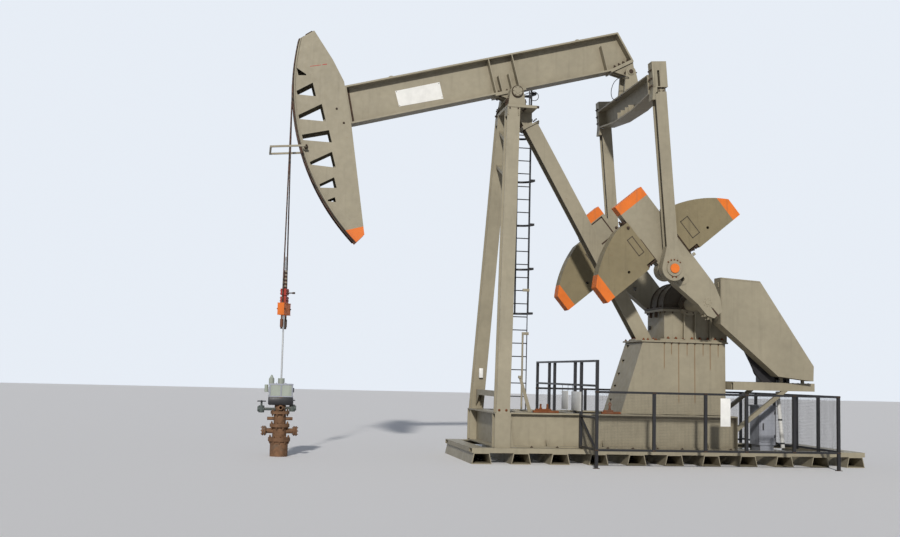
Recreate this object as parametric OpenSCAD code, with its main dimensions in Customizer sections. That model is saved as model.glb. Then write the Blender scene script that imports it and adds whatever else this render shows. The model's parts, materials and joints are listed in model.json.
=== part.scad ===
// Beam pumping unit with crank counterweights, wellhead and safety fence.
// The well is at the low end of X, the motor at the high end, and Y = 0 is the middle plane.
// The origin is on the ground, under the axis that the walking beam rocks on.

/* [Linkage] */
// Height of the saddle axis above the ground
saddle_h = 8150; // [7900:10:8400]
// Slope of the walking beam, tail end up
beam_tilt = 15.2; // [13:0.1:17]
// Distance from the saddle axis to the tail bearing
tail_arm = 2875; // [2850:5:2900]
// Distance from the saddle axis to the middle of the bridle lines
head_arm = 4950; // [4850:5:5050]
// Distance of the crankshaft behind the saddle axis
crank_x = 4075; // [4000:5:4150]
// Height of the crankshaft above the ground
crank_h = 3520; // [3480:5:3560]
// Throw of the wrist pin
crank_throw = 1126; // [1100:2:1150]
// Direction of the wrist pin from the crankshaft
crank_angle = 143.5; // [140:0.5:147]
// Distance from the middle plane to the middle of each pitman
pitman_y = 1860; // [1850:5:1900]

/* [Walking beam] */
// Distance from the saddle axis to the underside of the beam
beam_low = 112; // [108:2:130]
// Depth of the beam
beam_depth = 855; // [820:5:880]
// Width of the beam's flanges
beam_flange_w = 420; // [380:10:440]
// Thickness of the beam's flanges
beam_flange_t = 36; // [28:1:44]
// Thickness of the beam's web
beam_web_t = 24; // [16:1:32]
// Distance from the saddle axis to the kink in the tail of the beam
beam_kink = 2420; // [2380:10:2450]
// Rise of the kinked underside at the tail
tail_rise = 140; // [120:5:160]
// Distance from the saddle axis to the tail end of the lower flange
tail_end = 3010; // [2990:10:3040]
// Lean of the tail's end plate, top towards the head
tail_lean = 200; // [150:10:240]
// Thickness of the stiffeners
stiffener_t = 20; // [14:1:26]

/* [Horse head] */
// Width of the horse head over its side plates
head_w = 500; // [470:10:540]
// Thickness of the side plates
head_plate_t = 20; // [14:1:26]
// Thickness of the curved front plate
head_front_t = 20; // [14:1:26]
// Thickness of the wear strips under the bridle lines
track_t = 10; // [6:1:12]
// Width of a wear strip
track_w = 80; // [60:5:100]
// Reach of the front plate beyond each side plate
front_lip = 30; // [20:2:40]
// Width of the rim in front of the windows
head_rim = 36; // [30:2:60]
// Height of the head's top above the beam's axis
head_up = 2290; // [2250:10:2330]
// Depth of the head's low tip under the beam's axis
head_down = 2350; // [2300:10:2400]
// Distance from the saddle axis to the front end of the beam
beam_front = 3690; // [3650:10:3720]

/* [Bridle and rod] */
// Radius of a bridle line
line_r = 15; // [12:1:18]
// Distance from the middle plane to each bridle line
line_y = 120; // [110:5:150]
// Height of the carrier bar's underside
carrier_h = 3020; // [2980:10:3060]
// Depth of the carrier bar
carrier_d = 260; // [220:5:300]
// Length of the carrier bar
carrier_l = 400; // [360:10:440]
// Width of the carrier bar
carrier_w = 150; // [120:5:170]
// Turn of the carrier bar about the rod, as twisted by the lines
carrier_turn = 22; // [0:1:30]
// Radius of the polished rod
rod_r = 19; // [16:1:22]
// Height of the polished rod's lower end
rod_low = 650; // [640:5:680]
// Height of the polished rod's upper end
rod_top = 4290; // [4250:10:4350]
// Distance between two rings on the polished rod
ring_pitch = 80; // [70:2:84]

/* [Cranks and counterweights] */
// Distance from the middle plane to the inner face of each crank
crank_in = 1370; // [1360:5:1380]
// Thickness of a crank
crank_t = 260; // [220:5:280]
// Length of a crank from the crankshaft to its tip
crank_len = 2870; // [2840:10:2890]
// Half of the width of a crank
crank_half = 375; // [360:5:385]
// Angle between the wrist pin and the middle of the crank
pin_lead = 14; // [13:0.5:15]
// Radius of the bosses at the wrist pin
pin_boss_r = 235; // [220:5:245]
// Thickness of a counterweight
weight_t = 330; // [300:5:345]
// Place of the leading counterweights along the crank
weight_lead = 1365; // [1360:5:1390]
// Place of the lagging counterweights along the crank
weight_lag = 1040; // [1000:10:1080]
// Reach of a counterweight beyond the side of the crank
weight_reach = 1430; // [1380:10:1450]
// Radius of the round outer side of a counterweight
weight_arc = 2540; // [2520:5:2560]
// Radius of the crankshaft
shaft_r = 150; // [130:5:165]

/* [Pitmans and equalizer] */
// Width of a pitman seen from the side
pitman_w = 250; // [230:5:270]
// Depth of a pitman across the unit
pitman_d = 230; // [200:5:235]
// Thickness of a pitman's flanges
pitman_flange_t = 22; // [16:1:28]
// Thickness of a pitman's web
pitman_web_t = 14; // [10:1:20]
// Radius of a pitman's eye around its wrist bearing
wrist_r = 262; // [250:2:270]
// Drop from the tail bearing to the top of the equalizer beam
equalizer_drop = 470; // [450:10:490]
// Depth of the equalizer beam at its ends
equalizer_end_d = 430; // [400:10:460]
// Depth of the equalizer beam in the middle
equalizer_mid_d = 540; // [500:10:580]
// Width of the equalizer beam's lower flange
equalizer_w = 400; // [360:10:420]
// Radius of the tail bearing pin
tail_pin_r = 60; // [50:1:70]

/* [Post] */
// Width of a leg's flanges
leg_w = 290; // [270:5:310]
// Depth of a leg over its flanges
leg_d = 290; // [270:5:310]
// Thickness of a leg's flanges
leg_flange_t = 26; // [20:1:32]
// Thickness of a leg's web
leg_web_t = 18; // [12:1:24]
// Distance of a front leg's foot in front of the saddle axis
leg_foot_x = 385; // [370:5:400]
// Distance of a front leg's foot from the middle plane
leg_foot_y = 1340; // [1320:5:1360]
// Distance of a front leg's top in front of the saddle axis
leg_top_x = 75; // [60:5:90]
// Distance of a front leg's top from the middle plane
leg_top_y = 480; // [465:5:495]
// Distance from the saddle axis down to the top of the post cap
cap_drop = 300; // [280:5:320]
// Thickness of the post cap
cap_t = 60; // [50:5:70]
// Radius of the saddle shaft
saddle_shaft_r = 80; // [70:1:88]
// Width of the rear leg seen from the side
rear_w = 330; // [300:5:350]
// Depth of the rear leg across the unit
rear_d = 300; // [280:5:320]

/* [Base] */
// Height of the sleepers
sleeper_h = 230; // [210:5:250]
// Depth of the skid beams
skid_d = 100; // [90:5:120]
// Width over the skid beams
skid_w = 3140; // [3100:10:3180]
// Depth of the main base beams
base_d = 730; // [710:10:750]
// Distance from the middle plane to each main base beam
base_y = 1100; // [1080:5:1110]
// Width of the main base beams' flanges
base_flange_w = 280; // [250:5:290]
// Front end of the skid
skid_front = -1050; // [-1100:10:-1000]
// Rear end of the skid
skid_rear = 7780; // [7700:10:7850]
// Rear end of the main base beams
base_rear = 4950; // [4930:10:5000]

/* [Gearbox and drive] */
// Half of the pedestal's width at its foot
pedestal_foot_y = 630; // [600:10:660]
// Half of the pedestal's width at its top
pedestal_top_y = 590; // [560:10:620]
// Height of the gearbox pedestal
pedestal_h = 1640; // [1620:10:1660]
// Thickness of the pedestal's plates
pedestal_t = 20; // [12:1:30]
// Width of the gearbox
gearbox_w = 1060; // [1000:10:1080]
// Length of the gearbox
gearbox_l = 1500; // [1450:10:1550]
// Distance of the belt guard's outer face from the middle plane
guard_y = 1250; // [1220:5:1270]
// Thickness of the belt guard
guard_t = 350; // [320:5:370]
// Height of the motor platform's top
platform_h = 1820; // [1800:10:1840]

/* [Ladder] */
// Distance of the ladder's front rail behind the saddle axis
ladder_x = 230; // [200:5:260]
// Width between the middles of the ladder's rails
ladder_w = 420; // [400:5:440]
// Distance of the ladder from the middle plane
ladder_y = 730; // [725:1:750]
// Distance between two rungs
rung_pitch = 305; // [280:5:320]
// Radius of the ladder's cage
cage_r = 350; // [340:5:380]

/* [Fence] */
// Distance of the side fences from the middle plane
fence_y = 2400; // [2350:10:2450]
// Front of the fence
fence_x0 = 1330; // [1310:5:1350]
// Rear of the fence
fence_x1 = 6720; // [6680:10:6760]
// Height of the side fences
fence_h = 1570; // [1540:10:1600]
// Height of the front fence
fence_front_h = 2200; // [2150:10:2210]
// Size of the square fence posts
fence_post = 60; // [50:2:70]
// Size of the fence rails
fence_rail = 44; // [36:2:50]

/* [Hidden] */
$fn = 48;
fit = 0.08;
line_gap = 4;
seat = 0.3;
huge = 20000;
tan_paint = [0.65, 0.62, 0.54];
weight_paint = [0.52, 0.48, 0.38];
safety_paint = [0.93, 0.42, 0.10];
black_paint = [0.13, 0.13, 0.14];
skid_top = sleeper_h + skid_d;
base_top = skid_top + base_d;
pedestal_top = base_top + pedestal_h;
cap_top = saddle_h - cap_drop;
cap_low = cap_top - cap_t;
tail_x = tail_arm * cos(beam_tilt);
tail_h = saddle_h + tail_arm * sin(beam_tilt);
wrist_x = crank_x + crank_throw * cos(crank_angle);
wrist_h = crank_h + crank_throw * sin(crank_angle);
pitman_len = norm([wrist_x - tail_x, tail_h - wrist_h]);
pitman_tilt = atan2(wrist_x - tail_x, tail_h - wrist_h);
arm_angle = crank_angle - pin_lead;
beam_high = beam_low + beam_depth;
plate_r = head_arm - line_r - line_gap - track_t - head_front_t;

// A flat outline in X and Z, made solid from y0 to y1
module slab_xz(y0, y1) {
    translate([0, y1, 0]) rotate([90, 0, 0]) linear_extrude(y1 - y0) children();
}

// A flat outline in Y and Z, made solid from x0 to x1
module slab_yz(x0, x1) {
    translate([x0, 0, 0]) rotate([90, 0, 90]) linear_extrude(x1 - x0) children();
}

// A box from its low corner to its high corner
module box(p, q) {
    translate(p) cube(q - p);
}

// A box between two distances from the middle plane, on side s
module side_box(s, x0, x1, y0, y1, z0, z1) {
    box([x0, s > 0 ? y0 : -y1, z0], [x1, s > 0 ? y1 : -y0, z1]);
}

// A round bar along Y
module bar_y(x, z, r, y0, y1) {
    translate([x, y0, z]) rotate([-90, 0, 0]) cylinder(r = r, h = y1 - y0);
}

// A round bar along Y between two distances from the middle plane, on side s
module side_bar(s, x, z, r, y0, y1) {
    bar_y(x, z, r, s > 0 ? y0 : -y1, s > 0 ? y1 : -y0);
}

// The outline of an H section with its flanges facing Y
module h_section(w, d, flange, web) {
    for (s = [-1, 1]) translate([0, s * (d - flange) / 2]) square([w, flange], center = true);
    square([web, d - flange], center = true);
}

// The frame of the walking beam, with X along the beam
module beam_frame() {
    translate([0, 0, saddle_h]) rotate([0, -beam_tilt, 0]) children();
}

// The frame of a crank, with X along the crank
module crank_frame() {
    translate([crank_x, 0, crank_h]) rotate([0, -arm_angle, 0]) children();
}

// The frame of the pitmans, with the wrist pins straight under the tail bearing
module pitman_frame() {
    translate([tail_x, 0, tail_h]) rotate([0, -pitman_tilt, 0]) children();
}

// A flat strip of thickness t along the line from p to q, on its left side
module strip(p, q, t) {
    d = q - p;
    translate(p) rotate(atan2(d.y, d.x)) square([norm(d), t]);
}

// The corners of a convex outline, listed anticlockwise, moved in by t
function inset(pts, t) = [for (i = [0 : len(pts) - 1]) let (n = len(pts),
    u = pts[i] - pts[(i + n - 1) % n], v = pts[(i + 1) % n] - pts[i],
    a = [-u.y, u.x] / norm(u), b = [-v.y, v.x] / norm(v)) pts[i] + t / (1 + a * b) * (a + b)];

// Skid
sleeper_w = 430;
sleeper_slope = 50;
sleeper_pitch = 840;
sleeper_first = -840;
sleeper_count = 11;
skid_beam_w = 300;
skid_web_t = 14;

module skid_beams() color(tan_paint) {
    for (s = [-1, 1]) {
        y0 = skid_w / 2 - skid_beam_w;
        difference() {
            side_box(s, skid_front, skid_rear, y0, skid_w / 2, sleeper_h, skid_top);
            side_box(s, skid_front - 1, skid_rear + 1, y0 - 1, skid_w / 2 - skid_web_t,
                sleeper_h + skid_web_t, skid_top - skid_web_t);
        }
    }
    for (x = [skid_front, skid_rear - skid_beam_w])
        box([x, -skid_w / 2 + skid_beam_w, sleeper_h], [x + skid_beam_w, skid_w / 2 - skid_beam_w, skid_top]);
}

module sleepers() color(tan_paint) for (i = [0 : sleeper_count - 1])
    translate([sleeper_first + i * sleeper_pitch, 0, 0]) slab_xz(-skid_w / 2, skid_w / 2) difference() {
        polygon([[-sleeper_w / 2, 0], [sleeper_w / 2, 0], [sleeper_w / 2 - sleeper_slope, sleeper_h],
            [-sleeper_w / 2 + sleeper_slope, sleeper_h]]);
        polygon(inset([[-sleeper_w / 2, 0], [sleeper_w / 2, 0], [sleeper_w / 2 - sleeper_slope, sleeper_h],
            [-sleeper_w / 2 + sleeper_slope, sleeper_h]], 16));
    }

// Base
base_flange_t = 30;
base_web_t = 20;
stub_w = 340;
stub_y0 = leg_foot_y - leg_d / 2;
stub_y1 = leg_foot_y + leg_d / 2;
stub_x0 = -leg_foot_x - stub_w / 2;
stub_x1 = -leg_foot_x + stub_w / 2;
base_slope = 120;
cross_w = 170;
cross_x = [ladder_x, ladder_x + ladder_w, fence_x0 + fence_post / 2, 2520, 3300, 4100];

module base_beam(s) color(tan_paint) {
    y0 = base_y - base_flange_w / 2;
    y1 = base_y + base_flange_w / 2;
    difference() {
        slab_xz(s > 0 ? y0 : -y1, s > 0 ? y1 : -y0)
            polygon([[stub_x1, skid_top], [base_rear, skid_top], [base_rear, base_top], [stub_x1, base_top]]);
        for (side = [-1, 1]) {
            in0 = side > 0 ? base_y + base_web_t / 2 : y0 - 1;
            in1 = side > 0 ? y1 + 1 : base_y - base_web_t / 2;
            slab_xz(s > 0 ? in0 : -in1, s > 0 ? in1 : -in0)
                polygon([[stub_x1 + base_slope, skid_top + base_flange_t],
                    [base_rear - base_web_t, skid_top + base_flange_t],
                    [base_rear - base_web_t, base_top - base_flange_t],
                    [stub_x1 + base_web_t, base_top - base_flange_t]]);
        }
    }
}

module base_beam_near() base_beam(-1);

module base_beam_far() base_beam(1);

module base_cross_beams() color(tan_paint) {
    half = base_y - base_flange_w / 2;
    for (x = cross_x) {
        for (z = [skid_top, base_top - base_flange_t])
            box([x - cross_w / 2, -half, z], [x + cross_w / 2, half, z + base_flange_t]);
        box([x - base_web_t / 2, -half, skid_top + base_flange_t],
            [x + base_web_t / 2, half, base_top - base_flange_t]);
    }
    box([base_rear - cross_w, -half, base_top - base_flange_t], [base_rear, half, base_top]);
    box([base_rear - base_web_t, -half, skid_top], [base_rear, half, base_top - base_flange_t]);
}

foot_plate_t = 25;

module front_cross_beam() color(tan_paint) {
    for (z = [skid_top, base_top - leg_flange_t])
        box([stub_x0, -stub_y0, z], [stub_x1, stub_y0, z + leg_flange_t]);
    box([-leg_foot_x - leg_web_t / 2, -stub_y0, skid_top + leg_flange_t],
        [-leg_foot_x + leg_web_t / 2, stub_y0, base_top - leg_flange_t]);
    for (s = [-1, 1]) translate([-leg_foot_x, s * leg_foot_y, skid_top]) {
        linear_extrude(base_d - foot_plate_t) h_section(stub_w, leg_d, leg_flange_t, leg_web_t);
        translate([-stub_w / 2, -leg_d / 2, base_d - foot_plate_t]) cube([stub_w, leg_d, foot_plate_t]);
    }
}

// Pedestal
ped_foot = [crank_x - 1600, base_rear - 10];
ped_top = [crank_x - 1085, base_rear - 10];
ped_flange_t = 35;
ped_lip = 50;
foothold_drop = [60, 400, 700, 980, 1300];
foothold_w = 230;
foothold_h = 90;

// The pedestal's outer form, moved in by t on its front and sides and, when hollow, open at its foot
module pedestal_form(t) {
    foot = base_top - (t > 0 ? 1 : 0);
    top = pedestal_top - ped_flange_t;
    intersection() {
        slab_xz(-huge, huge)
            polygon([[ped_foot[0] + t, foot], [ped_foot[1] - t, foot], [ped_top[1] - t, top], [ped_top[0] + t, top]]);
        slab_yz(-huge, huge)
            polygon([[-pedestal_foot_y + t, foot], [pedestal_foot_y - t, foot],
                [pedestal_top_y - t, top], [-pedestal_top_y + t, top]]);
    }
}

module footholds() for (d = foothold_drop) {
    k = d / pedestal_h;
    z = pedestal_top - ped_flange_t - d;
    y = pedestal_top_y + k * (pedestal_foot_y - pedestal_top_y) - foothold_w;
    x = ped_top[0] + k * (ped_foot[0] - ped_top[0]);
    slab_yz(x - 100, x + 60)
        polygon([[y - foothold_w / 2, z], [y + foothold_w / 2, z], [y, z - foothold_h]]);
}

module gearbox_pedestal() color(tan_paint) {
    difference() {
        pedestal_form(0);
        pedestal_form(pedestal_t);
        footholds();
    }
    box([ped_top[0] - ped_lip, -pedestal_top_y - ped_lip, pedestal_top - ped_flange_t],
        [ped_top[1] + ped_lip, pedestal_top_y + ped_lip, pedestal_top]);
}

// Gearbox
gear_x0 = crank_x - 565;
split_t = 50;
split_h = crank_h - 110;
foot_t = 45;
rib_t = 24;
boss_r = 240;
dome_r = 530;
input_x = crank_x + 625;

module gear_bores() {
    bar_y(crank_x, crank_h, shaft_r + fit, -gearbox_w, gearbox_w);
}

module gearbox() color(tan_paint) difference() {
    union() {
        half = gearbox_w / 2;
        box([gear_x0, -half, pedestal_top], [gear_x0 + gearbox_l, half, split_h]);
        box([gear_x0 - 110, -half - 60, pedestal_top], [ped_top[1], half + 60, pedestal_top + foot_t]);
        box([gear_x0 - 60, -half - 60, split_h - split_t], [gear_x0 + gearbox_l + 50, half + 60, split_h]);
        for (s = [-1, 1]) {
            side_bar(s, crank_x, crank_h, boss_r, half, half + 120);
            for (x = [crank_x - 130, crank_x + 130, crank_x + 480])
                side_box(s, x, x + rib_t, half, half + 90, pedestal_top + foot_t, split_h - split_t);
        }
    }
    gear_bores();
    box([-huge, -huge, split_h], [huge, huge, huge]);
}

module gearbox_cover() color(tan_paint) difference() {
    union() {
        half = gearbox_w / 2;
        box([gear_x0 - 60, -half - 60, split_h], [gear_x0 + gearbox_l + 50, half + 60, split_h + split_t]);
        for (s = [-1, 1]) side_bar(s, crank_x, crank_h, boss_r, half, half + 120);
        slab_xz(-half + 60, half - 60) {
            translate([crank_x, crank_h]) circle(r = dome_r);
            polygon([[crank_x, split_h], [gear_x0 + gearbox_l - 60, split_h],
                [gear_x0 + gearbox_l - 60, crank_h + 250], [crank_x + dome_r * 0.6, crank_h + dome_r * 0.8],
                [crank_x, crank_h + dome_r * 0.9]]);
        }
        for (y = [-half + 110, 0, half - 110]) slab_xz(y - rib_t / 2, y + rib_t / 2)
            translate([crank_x, crank_h]) circle(r = dome_r + 25);
        for (s = [-1, 1])
            side_box(s, crank_x + 300, crank_x + 380, half - 60, half + 60, split_h + split_t, crank_h + 210);
        side_bar(-1, input_x, crank_h + 90, 75, half - 60, guard_y - guard_t - seat);
        side_bar(-1, input_x, crank_h + 90, 130, half - 60, half + 80);
    }
    gear_bores();
    box([-huge, -huge, 0], [huge, huge, split_h]);
}

// Post
leg_rise = cap_low - base_top;

// A leaning H section from p to q, cut level at the heights of p and q
module leaning_leg(p, q) {
    d = q - p;
    turn = atan2(d.y, d.x);
    intersection() {
        translate(p) rotate([0, acos(d.z / norm(d)), turn]) rotate([0, 0, -turn])
            translate([0, 0, -leg_w]) linear_extrude(norm(d) + 2 * leg_w)
                h_section(leg_w, leg_d, leg_flange_t, leg_web_t);
        box([-huge, -huge, p.z], [huge, huge, q.z]);
    }
}

module front_leg(s) {
    leaning_leg([-leg_foot_x, s * leg_foot_y, base_top], [-leg_top_x, s * leg_top_y, cap_low]);
}

module front_leg_near() color(tan_paint) front_leg(-1);

module front_leg_far() color(tan_paint) front_leg(1);

// Distance from the middle plane to a front leg's inner flange, and its place in X, at height z
leg_run = [leg_foot_x - leg_top_x, leg_foot_y - leg_top_y];
leg_half_d = leg_d / 2 / cos(atan2(norm(leg_run), leg_rise));
function leg_share(z) = (z - base_top) / leg_rise;
function leg_inner(z) = leg_foot_y - leg_share(z) * leg_run.y - leg_half_d - seat;
function leg_x(z) = -leg_foot_x + leg_share(z) * leg_run.x;

// A bar between the front legs, h high, from height z on the near leg to height top on the far leg
module leg_bar(z, top, h) {
    translate([leg_x(z), 0, 0]) slab_yz(-strut_w / 2, strut_w / 2)
        polygon([[-leg_inner(z), z], [leg_inner(top), top], [leg_inner(top + h), top + h],
            [-leg_inner(z + h), z + h]]);
}
strut_h = 120;
strut_w = 120;
strut_z = 1380;
diagonal_z = [cap_low - 1610, cap_low - 840];
diagonal_rise = 420;
diagonal_h = 75;

module leg_struts() color(tan_paint) {
    leg_bar(strut_z, strut_z, strut_h);
    for (z = diagonal_z) leg_bar(z, z + diagonal_rise, diagonal_h);
}

rear_top = [430, cap_low - 260];
rear_foot = [crank_x - 875, pedestal_top];
rear_run = rear_foot - rear_top;
rear_angle = atan2(rear_run.x, -rear_run.y);
joint_t = 40;

// The frame of the rear leg, with Z down along the leg from its bolted joint
module rear_frame() {
    translate([rear_top.x, 0, rear_top.y]) rotate([0, 180 - rear_angle, 0]) children();
}

module rear_leg() color(tan_paint) {
    intersection() {
        rear_frame() linear_extrude(norm(rear_run) + rear_w)
            h_section(rear_w, rear_d, leg_flange_t, leg_web_t);
        box([-huge, -huge, pedestal_top + joint_t], [huge, huge, huge]);
    }
    rear_frame() linear_extrude(joint_t) square([rear_w + 90, rear_d + 60], center = true);
    box([rear_foot.x - rear_w * 0.72, -rear_d / 2 - 30, pedestal_top],
        [gear_x0 - 110 - seat, rear_d / 2 + 30, pedestal_top + joint_t]);
}

cap_x0 = -215;
cap_x1 = 460;
cap_half = 640;
cap_rib_t = 30;

module post_cap() color(tan_paint) {
    box([cap_x0, -cap_half, cap_low], [cap_x1, cap_half, cap_top]);
    intersection() {
        union() {
            rear_frame() translate([0, 0, -joint_t]) linear_extrude(joint_t)
                square([rear_w + 90, rear_d + 60], center = true);
            rear_frame() translate([0, 0, -900]) linear_extrude(900)
                h_section(rear_w, rear_d, cap_rib_t, cap_rib_t);
        }
        box([leg_w - leg_top_x - 100, -cap_half, 0], [cap_x1, cap_half, cap_low]);
    }
}

block_in = 330;
block_out = 600;
block_r = 150;
block_foot = 190;

module saddle_bearings() color(tan_paint) for (s = [-1, 1]) difference() {
    union() {
        y0 = s > 0 ? block_in : -block_out;
        y1 = s > 0 ? block_out : -block_in;
        slab_xz(y0, y1) {
            translate([0, saddle_h]) circle(r = block_r);
            polygon([[-block_r, saddle_h], [block_r, saddle_h], [block_foot, cap_top + 70],
                [block_foot, cap_top], [-block_foot, cap_top], [-block_foot, cap_top + 70]]);
        }
        side_bar(s, 0, saddle_h, 112, block_out, block_out + 25);
    }
    bar_y(0, saddle_h, saddle_shaft_r + fit, -block_out + 20, block_out - 20);
}

// Ladder
ladder_low = base_top;
ladder_top = cap_top + 760;
rail_w = 50;
rail_t = 12;
cage_low = ladder_low + 2200;
cage_pitch = 1040;
hoop_t = 8;
hoop_h = 50;
ladder_mid = ladder_x + ladder_w / 2;

module ladder() color(black_paint) {
    for (x = [ladder_x, ladder_x + ladder_w])
        box([x - rail_t / 2, ladder_y - rail_w / 2, ladder_low],
            [x + rail_t / 2, ladder_y + rail_w / 2, ladder_top]);
    for (z = [ladder_low + rung_pitch : rung_pitch : ladder_top - rung_pitch / 2])
        translate([ladder_x + rail_t / 2, ladder_y, z]) rotate([0, 90, 0])
            cylinder(r = 12, h = ladder_w - rail_t, $fn = 8);
}

module ladder_brackets() color(black_paint) for (x = [ladder_x, ladder_x + ladder_w])
    box([x - rail_w / 2, cap_half, cap_low], [x + rail_w / 2, ladder_y - rail_w / 2, cap_top]);

module ladder_cage() color(black_paint) {
    y0 = ladder_y + rail_w / 2;
    for (z = [cage_low : cage_pitch : ladder_top - hoop_h]) {
        translate([ladder_mid, y0, z]) difference() {
            cylinder(r = cage_r, h = hoop_h);
            translate([0, 0, -1]) cylinder(r = cage_r - hoop_t, h = hoop_h + 2);
            translate([-huge / 2, -huge, -1]) cube([huge, huge, hoop_h + 2]);
        }
        for (s = [-1, 1]) {
            rail = ladder_w / 2 + rail_t / 2;
            box([ladder_mid + (s > 0 ? rail : -cage_r), y0 - 10, z],
                [ladder_mid + (s > 0 ? cage_r : -rail), y0 + 6, z + hoop_h]);
        }
    }
    for (a = [35, 90, 145])
        translate([ladder_mid, y0, cage_low]) rotate(a)
            translate([cage_r - hoop_t * 1.5, -20, 0]) cube([hoop_t, 40, ladder_top - cage_low]);
}

// Drive
guard_in = guard_y - guard_t;
motor_x = base_rear + 1400;
motor_r = 250;
motor_h = platform_h + 320;
motor_y = 560;
platform_x1 = base_rear + 1950;
platform_d = 180;
platform_y = 1000;
platform_far = 700;
platform_beam_w = 110;
plate_t = 14;
guard_rib = 20;

module belt_guard() color(tan_paint) {
    slab_xz(-guard_y, -guard_in)
        polygon([[input_x - 160, crank_h - 440], [input_x - 160, crank_h + 590],
            [input_x + 770, crank_h + 540], [motor_x + 400, platform_h + 380],
            [motor_x + 390, platform_h + 50], [motor_x - 450, platform_h + 140]]);
    for (x = [motor_x - 270, motor_x + 250])
        box([x, -platform_y + guard_rib, platform_h], [x + 60, -guard_in - guard_rib, platform_h + 200]);
}

module motor() color(black_paint) {
    bar_y(motor_x, motor_h, motor_r, -motor_y, motor_y - 100);
    bar_y(motor_x, motor_h, motor_r - 40, motor_y - 100, motor_y);
    for (x = [motor_x - 210, motor_x + 130])
        box([x, -motor_y + 80, platform_h], [x + 80, motor_y - 180, motor_h - motor_r + 90]);
    bar_y(motor_x, motor_h, 40, -guard_in + seat, -motor_y);
}

// A channel along X under the platform, open towards the side that s gives
module platform_beam(y, s) {
    low = platform_h - platform_d;
    top = platform_h - plate_t;
    difference() {
        box([base_rear, y, low], [platform_x1, y + platform_beam_w, top]);
        translate([-12, s * 12, 0]) box([base_rear - 12, y, low + 12], [platform_x1, y + platform_beam_w, top - 12]);
    }
}

module motor_platform() color(tan_paint) {
    platform_beam(-platform_y, 1);
    platform_beam(platform_far, -1);
    box([base_rear, -platform_y, platform_h - plate_t],
        [platform_x1, platform_far + platform_beam_w, platform_h]);
    for (x = [base_rear, platform_x1 - platform_beam_w])
        box([x, -platform_y + platform_beam_w, platform_h - platform_d],
            [x + platform_beam_w, platform_far, platform_h - plate_t]);
}

brace_w = 90;
brace_low = skid_top + 290;
brace_x = base_rear + 1300;

module platform_braces() color(tan_paint) for (y = [-platform_y + 10, platform_far + 10])
    slab_xz(y, y + 80) intersection() {
        strip([base_rear - 200, brace_low - 145], [brace_x + 200, platform_h - platform_d + 145], brace_w);
        translate([base_rear, skid_top]) square([3000, platform_h - platform_d - skid_top]);
    }

cabinet = [base_rear + 980, base_rear + 1370];
cabinet_half = 250;
cabinet_h = 880;
cabinet_foot = 60;

module control_cabinet() color("slategray") {
    box([cabinet[0] + 30, -cabinet_half + 30, skid_top - skid_d],
        [cabinet[1] - 30, cabinet_half - 30, skid_top + cabinet_foot]);
    box([cabinet[0], -cabinet_half, skid_top + cabinet_foot],
        [cabinet[1], cabinet_half, skid_top + cabinet_foot + cabinet_h]);
    box([cabinet[0] - 30, -cabinet_half - 30, skid_top + cabinet_foot + cabinet_h],
        [cabinet[1] + 30, cabinet_half + 30, skid_top + cabinet_foot + cabinet_h + 25]);
}

// Fence
side_len = fence_x1 - fence_x0;
side_posts = [0, 0.23, 0.44, 0.61, 0.81, 1];
rail_low = 350;

// The corner posts stand on the ground, the posts between them on the low rail
module side_fence(s) color(black_paint) translate([fence_x0, s * fence_y, 0]) {
    for (share = side_posts) {
        x = share * (side_len - fence_post);
        foot = share == 0 || share == 1 ? 0 : rail_low;
        box([x, -fence_post / 2, foot], [x + fence_post, fence_post / 2, share == 0 ? fence_front_h : fence_h]);
    }
    for (z = [rail_low, fence_h - fence_rail])
        box([0, -fence_rail / 2, z], [side_len, fence_rail / 2, z + fence_rail]);
}

module fence_near() side_fence(-1);

module fence_far() side_fence(1);

front_post_y = 800;
side_panel_y = base_y + base_flange_w / 2 + 25;
side_panel_h = 1000;

// Two rails over the base, and beside it a low panel with a diagonal on each side
module fence_front() color(black_paint) {
    y1 = fence_y - fence_post / 2;
    for (z = [fence_h + 80, fence_front_h - fence_rail])
        box([fence_x0, -y1, z], [fence_x0 + fence_rail, y1, z + fence_rail]);
    for (s = [-1, 1]) {
        side_box(s, fence_x0, fence_x0 + fence_post, front_post_y, front_post_y + fence_post,
            base_top, fence_front_h);
        side_box(s, fence_x0, fence_x0 + fence_post, side_panel_y, side_panel_y + fence_post,
            skid_top, fence_front_h);
        for (z = [rail_low, side_panel_h])
            side_box(s, fence_x0, fence_x0 + fence_rail, side_panel_y, y1, z, z + fence_rail);
        slab_yz(fence_x0, fence_x0 + fence_rail) mirror([s > 0 ? 0 : 1, 0]) intersection() {
            strip([side_panel_y, side_panel_h], [y1, rail_low], fence_rail);
            translate([side_panel_y, rail_low]) square([y1 - side_panel_y, side_panel_h - rail_low]);
        }
    }
}

module fence_rear() color(black_paint) {
    y1 = fence_y - fence_post / 2;
    for (z = [rail_low + 20, fence_h - fence_rail])
        box([fence_x1 - fence_rail, -y1, z], [fence_x1, y1, z + fence_rail]);
    for (s = [-1, 1], y = [skid_w / 6, skid_w / 2 - fence_post])
        side_box(s, fence_x1 - fence_post, fence_x1, y, y + fence_post, skid_top, fence_h);
}

// Wellhead
module stack(parts) {
    for (p = parts) translate([-head_arm, 0, p[1]]) cylinder(r = p[0], h = p[2] - p[1]);
}
box_low = 1260;
box_high = 1540;

module wellhead() color("saddlebrown") difference() {
    stack([[190, 0, 320], [235, 320, 400], [150, 400, 620], [210, 620, 690], [130, 690, 900], [200, 900, 960],
        [120, 960, 1180], [180, 1180, box_low]]);
    translate([-head_arm, 0, -1]) cylinder(r = 60, h = huge);
}

module stuffing_box() color("slategray") difference() {
    union() {
        box([-head_arm - 250, -170, box_low], [-head_arm + 250, 170, box_high]);
        stack([[70, box_high, box_high + 120]]);
    }
    translate([-head_arm, 0, 0]) cylinder(r = rod_r + fit, h = huge);
}

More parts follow.
